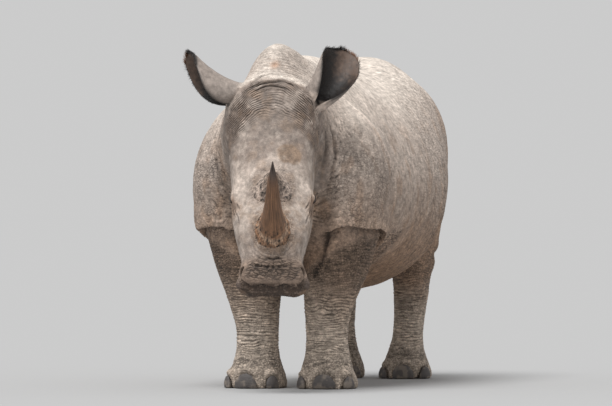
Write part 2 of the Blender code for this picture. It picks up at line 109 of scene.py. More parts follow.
# Along a horn: its share from the foot to the tip, half its width and half its length.
FRONT_HORN = (
    (-0.08, 0.092, 0.118), (0.03, 0.087, 0.110), (0.12, 0.068, 0.088), (0.30, 0.052, 0.060),
    (0.55, 0.038, 0.042), (0.80, 0.024, 0.027), (1.00, 0.003, 0.003),
)
REAR_HORN = (
    (-0.25, 0.100, 0.105), (0.05, 0.090, 0.096), (0.35, 0.060, 0.068), (0.65, 0.033, 0.042),
    (0.88, 0.015, 0.020), (1.00, 0.004, 0.004),
)
# Each horn's stations, its foot and tip along and up on the head, how far it leans back,
# how much wider it is in front, and the shares of it over which its loose fibres end.
HORNS = {
    "horn_front": (FRONT_HORN, (0.755, 0.0), (0.60, 0.44), -0.03, 0.12, (0.10, 0.32)),
    "horn_rear": (REAR_HORN, (0.530, -0.01), (0.505, 0.122), 0.0, 0.32, (0.5, 1.2)),
}
# Half the width and half the length of each horn's foot, on the skin.
HORN_FEET = {"horn_front": (0.090, 0.114), "horn_rear": (0.094, 0.100)}

# ---------------------------------------------------------------- numbers spread over points


def unit(vectors):
    """The vectors at a length of 1."""
    return vectors / np.maximum(np.linalg.norm(vectors, axis=-1), 1e-9)[..., None]


def square_to(vector, way):
    """The direction of a vector's part that is square to a way of length 1."""
    return unit(vector - vector @ way * way)


def smooth(low, high, values):
    """0 below low, 1 above high, and a smooth rise between them."""
    t = np.clip((values - low) / (high - low), 0, 1)
    return t * t * (3 - 2 * t)


def fall(low, high, values):
    """1 below low, 0 above high, and a smooth fall between them."""
    return 1 - smooth(low, high, values)


def bump(middle, width, values):
    """1 at the middle, falling smoothly to 0 at a width from it."""
    return fall(0, width, np.abs(values - middle))


def blob(points, place, radii):
    """1 at a place, falling smoothly to 0 on an ellipsoid round it."""
    far = np.sqrt((((points - place) / radii) ** 2).sum(1))
    return fall(0, 1, far)


TABLE_SIZE = 4096  # a power of 2
TABLE = np.random.default_rng(11).uniform(-1, 1, (TABLE_SIZE, 3))


def slot_of(cells, seed):
    """A place in the table of random values for each whole-numbered cell."""
    mixed = cells[:, 0] * 73856093 ^ cells[:, 1] * 19349663 ^ cells[:, 2] * 83492791 ^ seed * 374761393
    return (mixed ^ mixed >> 15) & (TABLE_SIZE - 1)


def noise(points, size, octaves=3, seed=0):
    """Smooth random values, about -1 to 1, with lumps of a size and finer ones on them."""
    total = np.zeros(len(points))
    strength = 1.0
    for octave in range(octaves):
        place = points * (2**octave / size) + 17.3 * octave
        cell = np.floor(place).astype(np.int64)
        t = place - cell
        t = t * t * t * (t * (t * 6 - 15) + 10)
        for corner in itertools.product((0, 1), repeat=3):
            weight = np.prod(np.where(corner, t, 1 - t), axis=1)
            total += strength * weight * TABLE[slot_of(cell + corner, seed + octave), 0]
        strength *= 0.5
    return total


def plates(points, seed=0):
    """How far each point is inside its cell of a random paving, 0 at the cracks, in unit cells."""
    cell = np.floor(points).astype(np.int64)
    nearest = np.full(len(points), 9.0)
    second = np.full(len(points), 9.0)
    for step in itertools.product((-1, 0, 1), repeat=3):
        middle = cell + step
        far = np.linalg.norm(middle + 0.5 + 0.42 * TABLE[slot_of(middle, seed)] - points, axis=1)
        second = np.minimum(second, np.maximum(nearest, far))
        nearest = np.minimum(nearest, far)
    return second - nearest


def ridges(phase, roundness=0.5):
    """Rounded ridges with sharp grooves between them, from -1 in a groove to 1, one to each unit."""
    return 2 * np.abs(np.sin(math.pi * phase)) ** roundness - 1


def eased(stations, steps):
    """The stations' values with smooth values between them, by Catmull-Rom curves."""
    rows = np.array(stations, float)
    rows = np.vstack([2 * rows[0] - rows[1], rows, 2 * rows[-1] - rows[-2]])
    out = []
    for before, start, end, after in zip(rows, rows[1:], rows[2:], rows[3:]):
        for t in np.arange(steps) / steps:
            slope = (end - before) * t
            bend = (2 * before - 5 * start + 4 * end - after) * t**2
            twist = (3 * start - before - 3 * end + after) * t**3
            out.append(start + 0.5 * (slope + bend + twist))
    out.append(rows[-2])
    return np.array(out)


# ---------------------------------------------------------------- meshes


def mesh_from(points, faces, name="mesh"):
    """A mesh of points and faces, all triangles or all quads."""
    faces = np.asarray(faces)
    mesh = bpy.data.meshes.new(name)
    mesh.vertices.add(len(points))
    mesh.vertices.foreach_set("co", np.asarray(points, float).ravel())
    mesh.loops.add(faces.size)
    mesh.loops.foreach_set("vertex_index", faces.ravel().astype(np.int32))
    mesh.polygons.add(len(faces))
    mesh.polygons.foreach_set("loop_start", np.arange(len(faces), dtype=np.int32) * faces.shape[1])
    mesh.polygons.foreach_set("use_smooth", np.ones(len(faces), bool))
    mesh.update(calc_edges=True)
    return mesh


def points_of(mesh):
    """A mesh's points as rows."""
    points = np.empty(len(mesh.vertices) * 3)
    mesh.vertices.foreach_get("co", points)
    return points.reshape(-1, 3)


def with_modifiers(mesh, *modifiers):
    """The mesh after the modifiers, each given as its type and its settings."""
    ob = bpy.data.objects.new("work", mesh)
    bpy.context.scene.collection.objects.link(ob)
    for kind, settings in modifiers:
        modifier = ob.modifiers.new(kind, kind)
        for key, value in settings.items():
            setattr(modifier, key, value)
    graph = bpy.context.evaluated_depsgraph_get()
    out = bpy.data.meshes.new_from_object(ob.evaluated_get(graph))
    bpy.data.objects.remove(ob)
    return out


def node_mesh(node, grow=0.0):
    """A copy of a CAD node's mesh as one closed surface, moved outwards by a distance."""
    bm = bmesh.new()
    bm.from_mesh(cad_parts[node].data)
    bmesh.ops.remove_doubles(bm, verts=bm.verts, dist=0.00005)
    bmesh.ops.recalc_face_normals(bm, faces=bm.faces)
    for vert in bm.verts:
        vert.co += grow * vert.normal
    mesh = bpy.data.meshes.new(node)
    bm.to_mesh(mesh)
    bm.free()
    return mesh


def joined(meshes):
    """Meshes put together as one, not yet as one surface."""
    bm = bmesh.new()
    for mesh in meshes:
        bm.from_mesh(mesh)
    out = bpy.data.meshes.new("joined")
    bm.to_mesh(out)
    bm.free()
    return out


def united(mesh, other):
    """Two closed meshes as one surface."""
    tool = bpy.data.objects.new("tool", other)
    bpy.context.scene.collection.objects.link(tool)
    settings = {"operation": "UNION", "object": tool, "solver": "MANIFOLD"}
    out = with_modifiers(mesh, ("BOOLEAN", settings), ("TRIANGULATE", {}))
    bpy.data.objects.remove(tool)
    return out


def grid_faces(rows, columns, closed=False):
    """The quads of a grid of points given row by row, joined round its columns if closed."""
    last = columns if closed else columns - 1
    i, j = np.meshgrid(np.arange(rows - 1) * columns, np.arange(last), indexing="ij")
    n = (j + 1) % columns
    return np.stack([i + j, i + n, i + columns + n, i + columns + j], -1).reshape(-1, 4)


def outward_faces(points, tris):
    """A closed surface's triangles, turned so that they face outwards."""
    a, b, c = (points[tris[:, k]] for k in range(3))
    volume = (np.cross(a, b) * c).sum()
    return tris if volume > 0 else tris[:, ::-1]


def tube(rings):
    """A closed surface round rings of points, as its points and triangles."""
    rings = np.asarray(rings)
    rows, columns = rings.shape[:2]
    quads = grid_faces(rows, columns, closed=True)
    points = np.vstack([rings.reshape(-1, 3), rings[0].mean(0), rings[-1].mean(0)])
    tris = [quads[:, [0, 1, 2]], quads[:, [0, 2, 3]]]
    k = np.arange(columns)
    n = (k + 1) % columns
    first, last = len(points) - 2, len(points) - 1
    tris.append(np.stack([np.full(columns, first), n, k], 1))
    tris.append(np.stack([np.full(columns, last), (rows - 1) * columns + k, (rows - 1) * columns + n], 1))
    return points, outward_faces(points, np.vstack(tris))


class Surface:
    """A surface of triangles that is refined, relaxed and sculpted."""

    def __init__(self, points, tris):
        self.points = np.array(points, float)
        self.tris = np.array(tris)
        self.values = {}  # named numbers at each point, kept through refining
        self.link()

    @classmethod
    def of(cls, mesh):
        """A mesh's surface."""
        mesh.calc_loop_triangles()
        tris = np.empty(len(mesh.loop_triangles) * 3, np.int32)
        mesh.loop_triangles.foreach_get("vertices", tris)
        return cls(points_of(mesh), tris.reshape(-1, 3).astype(np.int64))

    def link(self):
        """Works out the edges and the normals again."""
        count = len(self.points)
        corners = self.tris[:, [0, 1, 1, 2, 2, 0]].reshape(-1, 2)
        corners = np.sort(corners, axis=1)
        keys, self.edge_of = np.unique(corners[:, 0] * count + corners[:, 1], return_inverse=True)
        self.edges = np.stack([keys // count, keys % count], 1)
        self.both = np.concatenate([self.edges[:, 0], self.edges[:, 1]])
        self.other = np.concatenate([self.edges[:, 1], self.edges[:, 0]])
        self.links = np.maximum(np.bincount(self.both, minlength=count), 1)[:, None]
        self.turn()

    def turn(self):
        """Works out the normals again."""
        a, b, c = (self.points[self.tris[:, k]] for k in range(3))
        facing = np.cross(b - a, c - a)
        corners = self.tris.T.ravel()
        summed = [np.bincount(corners, np.tile(facing[:, k], 3), len(self.points)) for k in range(3)]
        self.normals = np.stack(summed, 1)
        self.normals /= np.maximum(np.linalg.norm(self.normals, axis=1), 1e-12)[:, None]

    def around(self, values):
        """The mean of each point's neighbours."""
        columns = [np.bincount(self.both, values[self.other, k], len(values)) for k in range(values.shape[1])]
        return np.stack(columns, 1) / self.links

    def eased(self, values, passes, strength=1.0):
        """Values after some smoothing, by a strength from 0 to 1 at each point."""
        values = values.copy()
        strength = 0.6 * np.broadcast_to(strength, len(values))[:, None]
        for _ in range(passes):
            values += strength * (self.around(values) - values)
        return values

    def relax(self, passes, strength=1.0, hold=False):
        """Smooths the surface. With hold, its broad shape is put back afterwards."""
        before = self.points
        self.points = self.eased(before, passes, strength)
        if hold:
            self.points += self.eased(before - self.points, passes, strength)
        self.turn()

    def refine(self, chosen, passes=2):
        """Splits the triangles in four where their points are chosen, and their neighbours to fit."""
        split = chosen[self.edges].all(axis=1)
        middle = np.full(len(self.edges), -1)
        middle[split] = len(self.points) + np.arange(split.sum())
        mids = middle[self.edge_of].reshape(-1, 3)
        parts = (mids >= 0).sum(axis=1)
        out = [self.tris[parts == 0]]
        for count in (1, 2, 3):
            tris, m = self.tris[parts == count], mids[parts == count]
            if count < 3:  # turned so that its first edge is split, and of two the first two
                first = np.argmax(m >= 0, axis=1) if count == 1 else (np.argmax(m < 0, axis=1) + 1) % 3
                order = (first[:, None] + np.arange(3)) % 3
                tris, m = np.take_along_axis(tris, order, 1), np.take_along_axis(m, order, 1)
            a, b, c = tris.T
            p, q, r = m.T
            shapes = {
                1: ((a, p, c), (p, b, c)),
                2: ((p, b, q), (a, p, q), (a, q, c)),
                3: ((a, p, r), (p, b, q), (r, q, c), (p, q, r)),
            }[count]
            out += [np.stack(shape, 1) for shape in shapes]
        ends = self.edges[split]
        self.points = np.vstack([self.points, self.points[ends].mean(axis=1)])
        for name, values in self.values.items():
            self.values[name] = np.concatenate([values, values[ends].mean(axis=1)])
        self.tris = np.vstack(out)
        self.link()
        fresh = np.zeros(len(self.points))
        fresh[: len(chosen)] = chosen
        fresh[len(chosen) :] = 1
        self.relax(passes, fresh, hold=True)

    def push(self, amount):
        """Moves each point along its normal."""
        self.points += amount[:, None] * self.normals


# ---------------------------------------------------------------- ears

# Along an ear: how far from its root to its tip, its radius, and half the arc of
# its rolled section in degrees.
EAR = (
    (0.00, 0.042, 165), (0.25, 0.075, 133), (0.50, 0.094, 107), (0.75, 0.107, 78), (0.97, 0.106, 50),
    (1.03, 0.090, 36),
)
EAR_STEP = 0.01  # the step that its directions are measured over
EAR_BOW = 0.024  # how far its back bends towards its opening
EAR_SKEW = 0.19  # how much longer its outer rim is than its inner one
EAR_ROUNDNESS = 0.075  # how much shorter its rims are than its middle, at the tip
EAR_HALF_THICKNESS = 0.005
# Each ear's root and tip: to the animal's left, back and up from the poll, then
# the way that it opens: to the side, forward and up.
EARS = {
    "left": ((0.165, 0.09, -0.085), (0.323, 0.19, 0.190), (0.49, 0.87, 0.05)),
    "right": ((-0.110, 0.09, 0.005), (-0.394, 0.11, 0.176), (-0.50, 0.14, -0.85)),
}


def ear_way(across, back, up):
    """A way given to the head's left, to its back and up."""
    return across * HEAD_SIDE + back * HEAD_BACK + np.array((0, 0, up))


class Ear:
    """An ear's middle sheet, given by the share of its length and the turn from rim to rim."""

    def __init__(self, side, sign):
        root, tip, way = EARS[side]
        self.side, self.sign = side, sign
        self.root = POLL + ear_way(*root)
        self.length = ear_way(*np.subtract(tip, root))
        axis = unit(self.length)
        self.opening = square_to(ear_way(way[0], -way[1], way[2]), axis)
        self.across = np.cross(axis, self.opening)
        self.shares, self.radii, self.arcs = eased(EAR, 12).T

    def at(self, share, turn):
        """Points of the sheet: share 0 at the root and 1 at the tip, turn -1 and 1 at the rims."""
        share, turn = np.broadcast_arrays(share, turn)
        share = share * (1 - EAR_ROUNDNESS * np.abs(turn) ** 3)
        radius = np.interp(share, self.shares, self.radii)
        angle = np.radians(np.interp(share, self.shares, self.arcs)) * turn
        along = share * (1 + self.sign * EAR_SKEW / 2 * turn)
        bow = EAR_BOW * np.sin(math.pi * np.minimum(share, 1)) + radius * (1 - np.cos(angle))
        out = radius * np.sin(angle)
        place = self.root + along[..., None] * self.length
        return place + bow[..., None] * self.opening + out[..., None] * self.across

    def facing(self, share, turn):
        """The sheet's normals, away from the ear's hollow."""
        along = self.at(share + EAR_STEP, turn) - self.at(share - EAR_STEP, turn)
        over = self.at(share, turn + EAR_STEP) - self.at(share, turn - EAR_STEP)
        return unit(np.cross(along, over))

    def shell(self, rows=72, columns=56):
        """The ear as a closed mesh, thinning to its rims, with its foot deep in the head."""
        share, turn = np.meshgrid(np.linspace(-0.2, 1.02, rows), np.linspace(-1, 1, columns), indexing="ij")
        middle, normal = self.at(share, turn), self.facing(share, turn)
        edge = np.maximum(smooth(0.86, 1, np.abs(turn)), smooth(0.92, 1.02, share))
        half = EAR_HALF_THICKNESS * (1 - 0.65 * edge) * (1 + 1.4 * fall(0.0, 0.4, share))
        veins = noise(middle.reshape(-1, 3), 0.03, 3, 5).reshape(half.shape)
        lift = (half * (1 + 0.15 * veins))[..., None] * normal
        points = np.concatenate([(middle + lift).reshape(-1, 3), (middle - lift).reshape(-1, 3)])
        front = grid_faces(rows, columns)
        back = front[:, ::-1] + rows * columns
        right = np.arange(rows - 1) * columns + columns - 1
        left = (rows - 1 - np.arange(rows - 1)) * columns
        bottom = np.arange(columns - 1)
        border = np.concatenate([bottom, right, rows * columns - 1 - bottom, left])
        after = np.roll(border, -1)
        rim = np.stack([after, border, border + rows * columns, after + rows * columns], 1)
        quads = np.vstack([front, back, rim])
        tris = np.vstack([quads[:, [0, 1, 2]], quads[:, [0, 2, 3]]])
        return mesh_from(points, outward_faces(points, tris))

    def locate(self, points, reach=0.016):
        """Which points lie near the sheet, their share and turn, and if they are in its hollow."""
        share, turn = np.meshgrid(np.linspace(0, 1.03, 80), np.linspace(-1, 1, 60), indexing="ij")
        share, turn = share.ravel(), turn.ravel()
        middle, normal = self.at(share, turn), self.facing(share, turn)
        tree = KDTree(len(middle))
        for k, p in enumerate(middle):
            tree.insert(p, k)
        tree.balance()
        box = (points > middle.min(0) - reach).all(1) & (points < middle.max(0) + reach).all(1)
        found = []
        for k in np.flatnonzero(box):
            _, nearest, far = tree.find(points[k])
            if far < reach:
                found.append((k, nearest))
        which, nearest = np.array(found).T
        inside = ((points[which] - middle[nearest]) * normal[nearest]).sum(1) < 0
        return which, share[nearest], turn[nearest], inside


EAR_SHEETS = [Ear(side, sign) for side, sign in SIDES]

# ---------------------------------------------------------------- the skin's form

# The tail: how far in front of its rearmost point, how high, and half its width.
TAIL = (
    (0.34, 1.41, 0.062), (0.22, 1.39, 0.058), (0.115, 1.30, 0.048), (0.060, 1.17, 0.037),
    (0.042, 1.02, 0.029), (0.036, 0.88, 0.024), (0.032, 0.78, 0.020), (0.030, 0.72, 0.012),
)


def tail_line(shares):
    """The middles of the tail's sections and their half widths, 0 at its root and 1 at its end."""
    stations = eased(TAIL, 12)
    where = np.linspace(0, 1, len(stations))
    gap, z, half = (np.interp(shares, where, column) for column in stations.T)
    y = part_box("tail")[1][1] - gap
    return np.stack([np.full(len(z), centre("tail")[0]), y, z], 1), half


def tail_rings(rows=90, columns=32):
    """The tail's bare part, ringed with shallow creases."""
    share = np.linspace(0, 1, rows)
    middles, halves = tail_line(share)
    along = unit(np.gradient(middles, axis=0))
    turn = np.linspace(0, 2 * math.pi, columns, endpoint=False)
    side = np.array((1.0, 0.0, 0.0))
    rings = []
    for middle, half, way, place in zip(middles, halves, along, share):
        back = np.cross(side, way)
        crease = ridges(44 * place + 0.25 * np.sin(2 * turn + 30 * place))
        wave = half * (1 + 0.045 * crease)
        ring = (wave * np.cos(turn))[:, None] * side + (0.85 * wave * np.sin(turn))[:, None] * back
        rings.append(middle + ring)
    return rings


def first_skin():
    """The flesh as one smooth surface, with the ears and the tail joined on."""
    solids = [node_mesh(node, 0.0006) for node in FLESH + ["eye_left", "eye_right"]]
    mesh = with_modifiers(joined(solids), ("REMESH", {"mode": "VOXEL", "voxel_size": VOXEL}))
    skin = Surface.of(mesh)
    head = head_places(skin.points)
    on_head = smooth(0.0, 0.15, head[:, 1]) * smooth(-0.60, -0.45, head[:, 2])
    on_head *= skin.points[:, 1] < FORE_Y - 0.35  # as the trunk's front is within those limits too
    on_leg = smooth(0.95, 0.6, skin.points[:, 2])
    on_foot = smooth(0.2, 0.12, skin.points[:, 2])
    strength = 1 - 0.78 * np.maximum.reduce([on_head, 0.55 * on_leg, on_foot])
    skin.relax(46, strength, hold=True)
    mesh = mesh_from(skin.points, skin.tris)
    for ear in EAR_SHEETS:
        mesh = united(mesh, ear.shell())
    points, tris = tube(tail_rings())
    mesh = united(mesh, mesh_from(points, tris))
    return Surface.of(mesh)


PARTS = {
    "head": ["head", "eye_left", "eye_right"],
    "body": ["trunk", "neck"],
    "fore": [limb for limb in LIMBS if "front" in limb],
    "hind": [limb for limb in LIMBS if "hind" in limb],
    "ear": ["ear_left", "ear_right"],
    "tail": ["tail"],
}


def find_parts(skin):
    """Gives each point its share of each part of the animal, with soft borders."""
    far = []
    for nodes in PARTS.values():
        tree = tree_of(joined([node_mesh(node) for node in nodes]))
        far.append([tree.find_nearest(p)[3] for p in skin.points])
    nearest = np.argmin(far, axis=0)
    across, _, up = head_places(skin.points).T
    behind = (nearest == 0) & ((up < -0.43) | (np.abs(across) > 0.27))
    nearest[behind] = 1  # the head's back lies close under the neck's skin
    shares = (nearest[:, None] == np.arange(len(PARTS))).astype(float)
    shares = skin.eased(shares, 3)
    for name, share in zip(PARTS, shares.T):
        skin.values[name] = share


# ---------------------------------------------------------------- curves and folds


class Path:
    """A curve along the skin, from places near it; its raised side is the one towards a direction."""

    def __init__(self, tree, places, raised=(0, 0, 1), smoothness=24):
        found = [tree.find_nearest(p) for p in eased(places, smoothness)]
        self.points = np.array([f[0] for f in found])
        self.normals = np.array([f[1] for f in found])
        across = unit(np.cross(self.normals, np.gradient(self.points, axis=0)))
        self.across = across * np.sign((across @ np.array(raised, float)).sum())
        steps = np.linalg.norm(np.diff(self.points, axis=0), axis=1)
        self.shares = np.concatenate([[0], np.cumsum(steps)]) / steps.sum()

    def near(self, points, reach):
        """Which points are near the curve, which of its samples is nearest, and how far to its side."""
        box = (points > self.points.min(0) - reach).all(1) & (points < self.points.max(0) + reach).all(1)
        which = np.flatnonzero(box)
        nearest = np.zeros(len(which), int)
        for start in range(0, len(which), 20000):
            some = points[which[start : start + 20000]]
            far = (self.points**2).sum(1) - 2 * some @ self.points.T
            nearest[start : start + 20000] = far.argmin(1)
        offset = points[which] - self.points[nearest]
        close = (offset**2).sum(1) < reach**2
        side = (offset * self.across[nearest]).sum(1)
        return which[close], nearest[close], side[close]

    def fade(self, nearest, share):
        """1 along the curve's middle, falling to 0 over a share of it at each end."""
        place = self.shares[nearest]
        return smooth(0, share, place) * smooth(0, share, 1 - place)


class Sculptor:
    """Cuts folds into a skin, and keeps for the paint how deep in one or high on one points lie: for painted
    shade in the hollows and a paler paint on the crests.
    """

    def __init__(self, skin):
        self.skin = skin
        self.tree = tree_of(mesh_from(skin.points, skin.tris))
        for name in ("hollow_shade", "crest"):
            skin.values[name] = np.zeros(len(skin.points))

    def path(self, places, **settings):
        """A curve along the skin as it was before its folds."""
        return Path(self.tree, places, **settings)

    def crease(self, path, width, depth, lip=0.35, ends=0.25, wander=0.4):
        """A groove with raised lips, or a ridge where the depth is below 0."""
        which, nearest, side = path.near(self.skin.points, 6 * width)
        places = self.skin.points[which]
        side = side + wander * width * noise(places, 8 * width, 2, 3)
        fade = path.fade(nearest, ends) * (0.85 + 0.3 * noise(places, 15 * width, 1, 4))
        groove = np.exp(-((side / width) ** 2))
        lips = np.exp(-(((side - 2.2 * width) / (1.4 * width)) ** 2))
        lips += np.exp(-(((side + 2.2 * width) / (1.4 * width)) ** 2))
        self.skin.points[which] += (depth * fade * (lip * lips - groove))[:, None] * self.skin.normals[which]
        # the groove gets painted shade; a ridge, where the depth is below 0, is painted paler
        mark = fade * groove * min(1, 0.75 * depth / width)
        self.skin.values["hollow_shade"][which] += np.maximum(mark, 0)
        self.skin.values["crest"][which] += np.maximum(-1.3 * mark, 0)
        self.skin.turn()

    def overhang(self, path, above, below, swell, drop, depth, edge=0.012, ends=0.2, narrow=1.0):
        """A roll of skin that swells on the curve's raised side and hangs over a groove on the other.

        The groove gets narrow over the curve's last part, from the share called narrow on.
        """
        which, nearest, side = path.near(self.skin.points, max(above, below))
        places = self.skin.points[which]
        side = side + 0.006 * noise(places, 0.09, 2, 6)
        fade = path.fade(nearest, ends)
        below = below * (1 - 0.72 * smooth(narrow, narrow + 0.15, path.shares[nearest]))
        t = smooth(-edge, edge, side)
        roll = fade * t * fall(0, above, side)
        groove = fade * (1 - t) * fall(0, 1, -side / below)
        self.skin.points[which] += (swell * roll - depth * groove)[:, None] * path.normals[nearest]
        self.skin.points[which] -= (drop * roll**2)[:, None] * path.across[nearest]
        shadow = 0.7 * fall(0, 1, -side / (0.35 * below)) + 0.55 * fall(0, 1, -side / below)
        self.skin.values["hollow_shade"][which] += fade * shadow * fall(-edge, 0.4 * edge, side)
        # a painted highlight along the top of the roll
        self.skin.values["crest"][which] += fade * np.exp(-(((side - 2.0 * edge) / (1.5 * edge)) ** 2))
        self.skin.turn()

    def shape(self, mask, amount, marks=1.0):
        """Pushes the points where a mask is above 0 by an amount worked out at them.

        Marks says how strongly the painted shade shows in the hollows and how much paler the crests are
        painted.
        """
        which = np.flatnonzero(mask > 0.01)
        if len(which):
            height = mask[which] * amount(self.skin.points[which])
            self.skin.points[which] += height[:, None] * self.skin.normals[which]
            self.skin.values["hollow_shade"][which] += marks * np.clip(-height / 0.0028, 0, 0.9)
            self.skin.values["crest"][which] += min(1, marks) * np.clip(height / 0.0036, 0, 1)
        self.skin.turn()


def tree_of(mesh):
    """A mesh's faces, for finding the nearest one."""
    return BVHTree.FromPolygons(points_of(mesh).tolist(), [tuple(p.vertices) for p in mesh.polygons])


def mirrored(places, sign):
    """Places given for the left side, for the side of a sign."""
    return [(sign * across, along, up) for across, along, up in places]


def body_path(sculptor, places, sign, **settings):
    """A curve along the body from places of the left side, for the side of a sign."""
    return sculptor.path([body_point(*place) for place in mirrored(places, sign)], **settings)


def head_path(sculptor, places, sign=1, **settings):
    """A curve along the head from places of the left side, for the side of a sign."""
    return sculptor.path([head_point(*place) for place in mirrored(places, sign)], **settings)


# ---------------------------------------------------------------- the body's folds

# Folds of the left side: how far to the left, behind the front feet, and high.
ARMPIT_FOLD = (
    (0.16, -0.20, 0.73), (0.20, -0.207, 0.773), (0.25, -0.224, 0.808), (0.30, -0.23, 0.828),
    (0.36, -0.21, 0.830), (0.41, -0.15, 0.822), (0.45, -0.08, 0.817), (0.46, 0.00, 0.797),
    (0.45, 0.06, 0.762), (0.43, 0.09, 0.710), (0.39, 0.12, 0.660),
)
LEG_CREASE = (
    (0.245, -0.205, 0.795), (0.232, -0.199, 0.758), (0.212, -0.188, 0.690), (0.194, -0.179, 0.640),
    (0.163, -0.159, 0.580), (0.138, -0.140, 0.530),
)
SHOULDER_ARC = (
    (0.25, -0.06, 1.46), (0.36, -0.03, 1.34), (0.45, 0.02, 1.20), (0.49, 0.08, 1.05),
    (0.50, 0.11, 0.94), (0.48, 0.11, 0.84), (0.46, 0.08, 0.77),
)
FLANK_FOLD = (
    (0.36, 1.10, 0.56), (0.42, 1.02, 0.64), (0.48, 0.96, 0.76), (0.52, 0.96, 0.90), (0.51, 1.00, 1.04),
    (0.46, 1.07, 1.18),
)
RUMP_FOLDS = (
    ((0.09, 1.99, 1.22), (0.15, 2.0, 1.05), (0.19, 1.97, 0.88), (0.21, 1.90, 0.70)),
    ((0.36, 1.62, 0.66), (0.33, 1.78, 0.63), (0.24, 1.86, 0.62), (0.14, 1.82, 0.62)),
)
NECK_FOLDS = (
    (
        (0.20, -0.48, 1.46), (0.26, -0.45, 1.36), (0.27, -0.39, 1.26), (0.26, -0.36, 1.16),
        (0.22, -0.33, 1.02),
    ),
    (
        (0.19, -0.40, 1.50), (0.28, -0.37, 1.38), (0.30, -0.33, 1.24), (0.28, -0.30, 1.08),
        (0.23, -0.29, 0.93),
    ),
)
HOCK_CREASES = (
    ((0.10, 1.60, 0.415), (0.17, 1.57, 0.405), (0.25, 1.60, 0.415), (0.29, 1.68, 0.44)),
    ((0.12, 1.60, 0.375), (0.18, 1.57, 0.37), (0.25, 1.60, 0.38)),
)
# Where the back is raised over the CAD model's: by how much, its middle and its radii.
RISES = (
    (0.060, (0, 0.50, 1.60), (0.28, 0.60, 0.34)),
    (0.016, (0, -0.32, 1.70), (0.12, 0.22, 0.14)),
)


def sculpt_body(sculptor):
    """The body's large folds."""
    skin = sculptor.skin
    for rise, place, radii in RISES:
        skin.points[:, 2] += rise * blob(skin.points, body_point(*place), radii)
    skin.turn()
    for _, sign in SIDES:
        fold = body_path(sculptor, ARMPIT_FOLD, sign)
        sculptor.overhang(fold, 0.12, 0.09, swell=0.032, drop=0.026, depth=0.024, narrow=0.58)
        leg = body_path(sculptor, LEG_CREASE, sign, raised=(1, 0, 0))
        sculptor.crease(leg, 0.013, 0.016, lip=0.3, ends=0.15)
        arc = body_path(sculptor, SHOULDER_ARC, sign, raised=(0, -1, 0))
        sculptor.crease(arc, 0.012, -0.012, lip=-0.3, ends=0.2, wander=0.2)
        flank = body_path(sculptor, FLANK_FOLD, sign, raised=(0, -1, 0))
        sculptor.crease(flank, 0.022, 0.016, lip=0.5, ends=0.35)
        for places in NECK_FOLDS:
            neck = body_path(sculptor, places, sign, raised=(0, -1, 0))
            sculptor.crease(neck, 0.010, 0.008, lip=0.6)
        for places in HOCK_CREASES:
            sculptor.crease(body_path(sculptor, places, sign), 0.008, 0.007)
        for places in RUMP_FOLDS:
            rump = body_path(sculptor, places, sign, raised=(1, 0, 0.3))
            sculptor.crease(rump, 0.024, 0.012, lip=0.5, ends=0.4)
    sculptor.shape(1 - skin.values["ear"], lambda p: 0.004 * noise(p, 0.22, 2, 21), marks=0)


# ---------------------------------------------------------------- the head's folds

# The folds at the hump's foot: across, along and up on the head.
HUMP_FOLDS = (
    (
        (-0.15, 0.00, -0.04), (-0.10, -0.03, 0.00), (-0.04, -0.075, -0.03), (0.03, -0.09, -0.05),
        (0.09, -0.08, -0.06), (0.15, -0.03, -0.04),
    ),
    (
        (-0.15, 0.035, -0.02), (-0.10, 0.000, 0.01), (-0.05, -0.018, 0.02), (0.00, -0.024, 0.02),
        (0.05, -0.026, 0.01), (0.10, -0.010, 0.00), (0.14, 0.020, -0.01),
    ),
    (
        (-0.10, 0.030, 0.00), (-0.05, 0.008, 0.02), (0.00, 0.000, 0.025), (0.05, 0.006, 0.02),
        (0.10, 0.026, 0.00),
    ),
)
HUMP_FOLD_SIZES = (0.013, 0.009, 0.006)
HORN_CREASES = (
    ((-0.055, 0.897, -0.02), (0.0, 0.904, -0.012), (0.06, 0.897, -0.02)),
    (
        (-0.125, 0.912, -0.05), (-0.06, 0.932, -0.035), (0.0, 0.936, -0.036), (0.06, 0.930, -0.037),
        (0.115, 0.908, -0.048),
    ),
)
LIP_FOLD = (
    (-0.155, 0.972, -0.085), (-0.130, 0.990, -0.077), (-0.100, 1.006, -0.088), (-0.050, 1.003, -0.082),
    (0.0, 1.010, -0.086), (0.055, 0.997, -0.075), (0.105, 1.007, -0.087), (0.135, 0.987, -0.075),
    (0.158, 0.968, -0.085),
)
MOUTH = (
    (-0.14, 0.74, -0.205), (-0.165, 0.84, -0.200), (-0.175, 0.93, -0.195), (-0.172, 0.985, -0.185),
    (-0.13, 1.025, -0.180), (0.0, 1.035, -0.175), (0.13, 1.025, -0.180), (0.172, 0.985, -0.185),
    (0.175, 0.93, -0.195), (0.165, 0.84, -0.200), (0.14, 0.74, -0.205),
)
UNDER_EYE = (
    ((0.188, 0.585, -0.085), (0.178, 0.62, -0.078), (0.165, 0.66, -0.070)),
    ((0.198, 0.590, -0.105), (0.190, 0.635, -0.095), (0.178, 0.685, -0.085)),
    ((0.180, 0.575, -0.068), (0.168, 0.60, -0.060), (0.155, 0.625, -0.052)),
    ((0.205, 0.60, -0.135), (0.198, 0.65, -0.125), (0.190, 0.70, -0.115)),
    ((0.193, 0.588, -0.095), (0.184, 0.63, -0.086), (0.172, 0.665, -0.078)),
    ((0.202, 0.595, -0.120), (0.194, 0.63, -0.110), (0.188, 0.66, -0.102)),
    ((0.170, 0.640, -0.066), (0.160, 0.68, -0.058), (0.150, 0.71, -0.050)),
)
CHEEK_FOLD = ((0.16, 0.80, -0.19), (0.178, 0.84, -0.15), (0.172, 0.88, -0.11), (0.15, 0.905, -0.075))


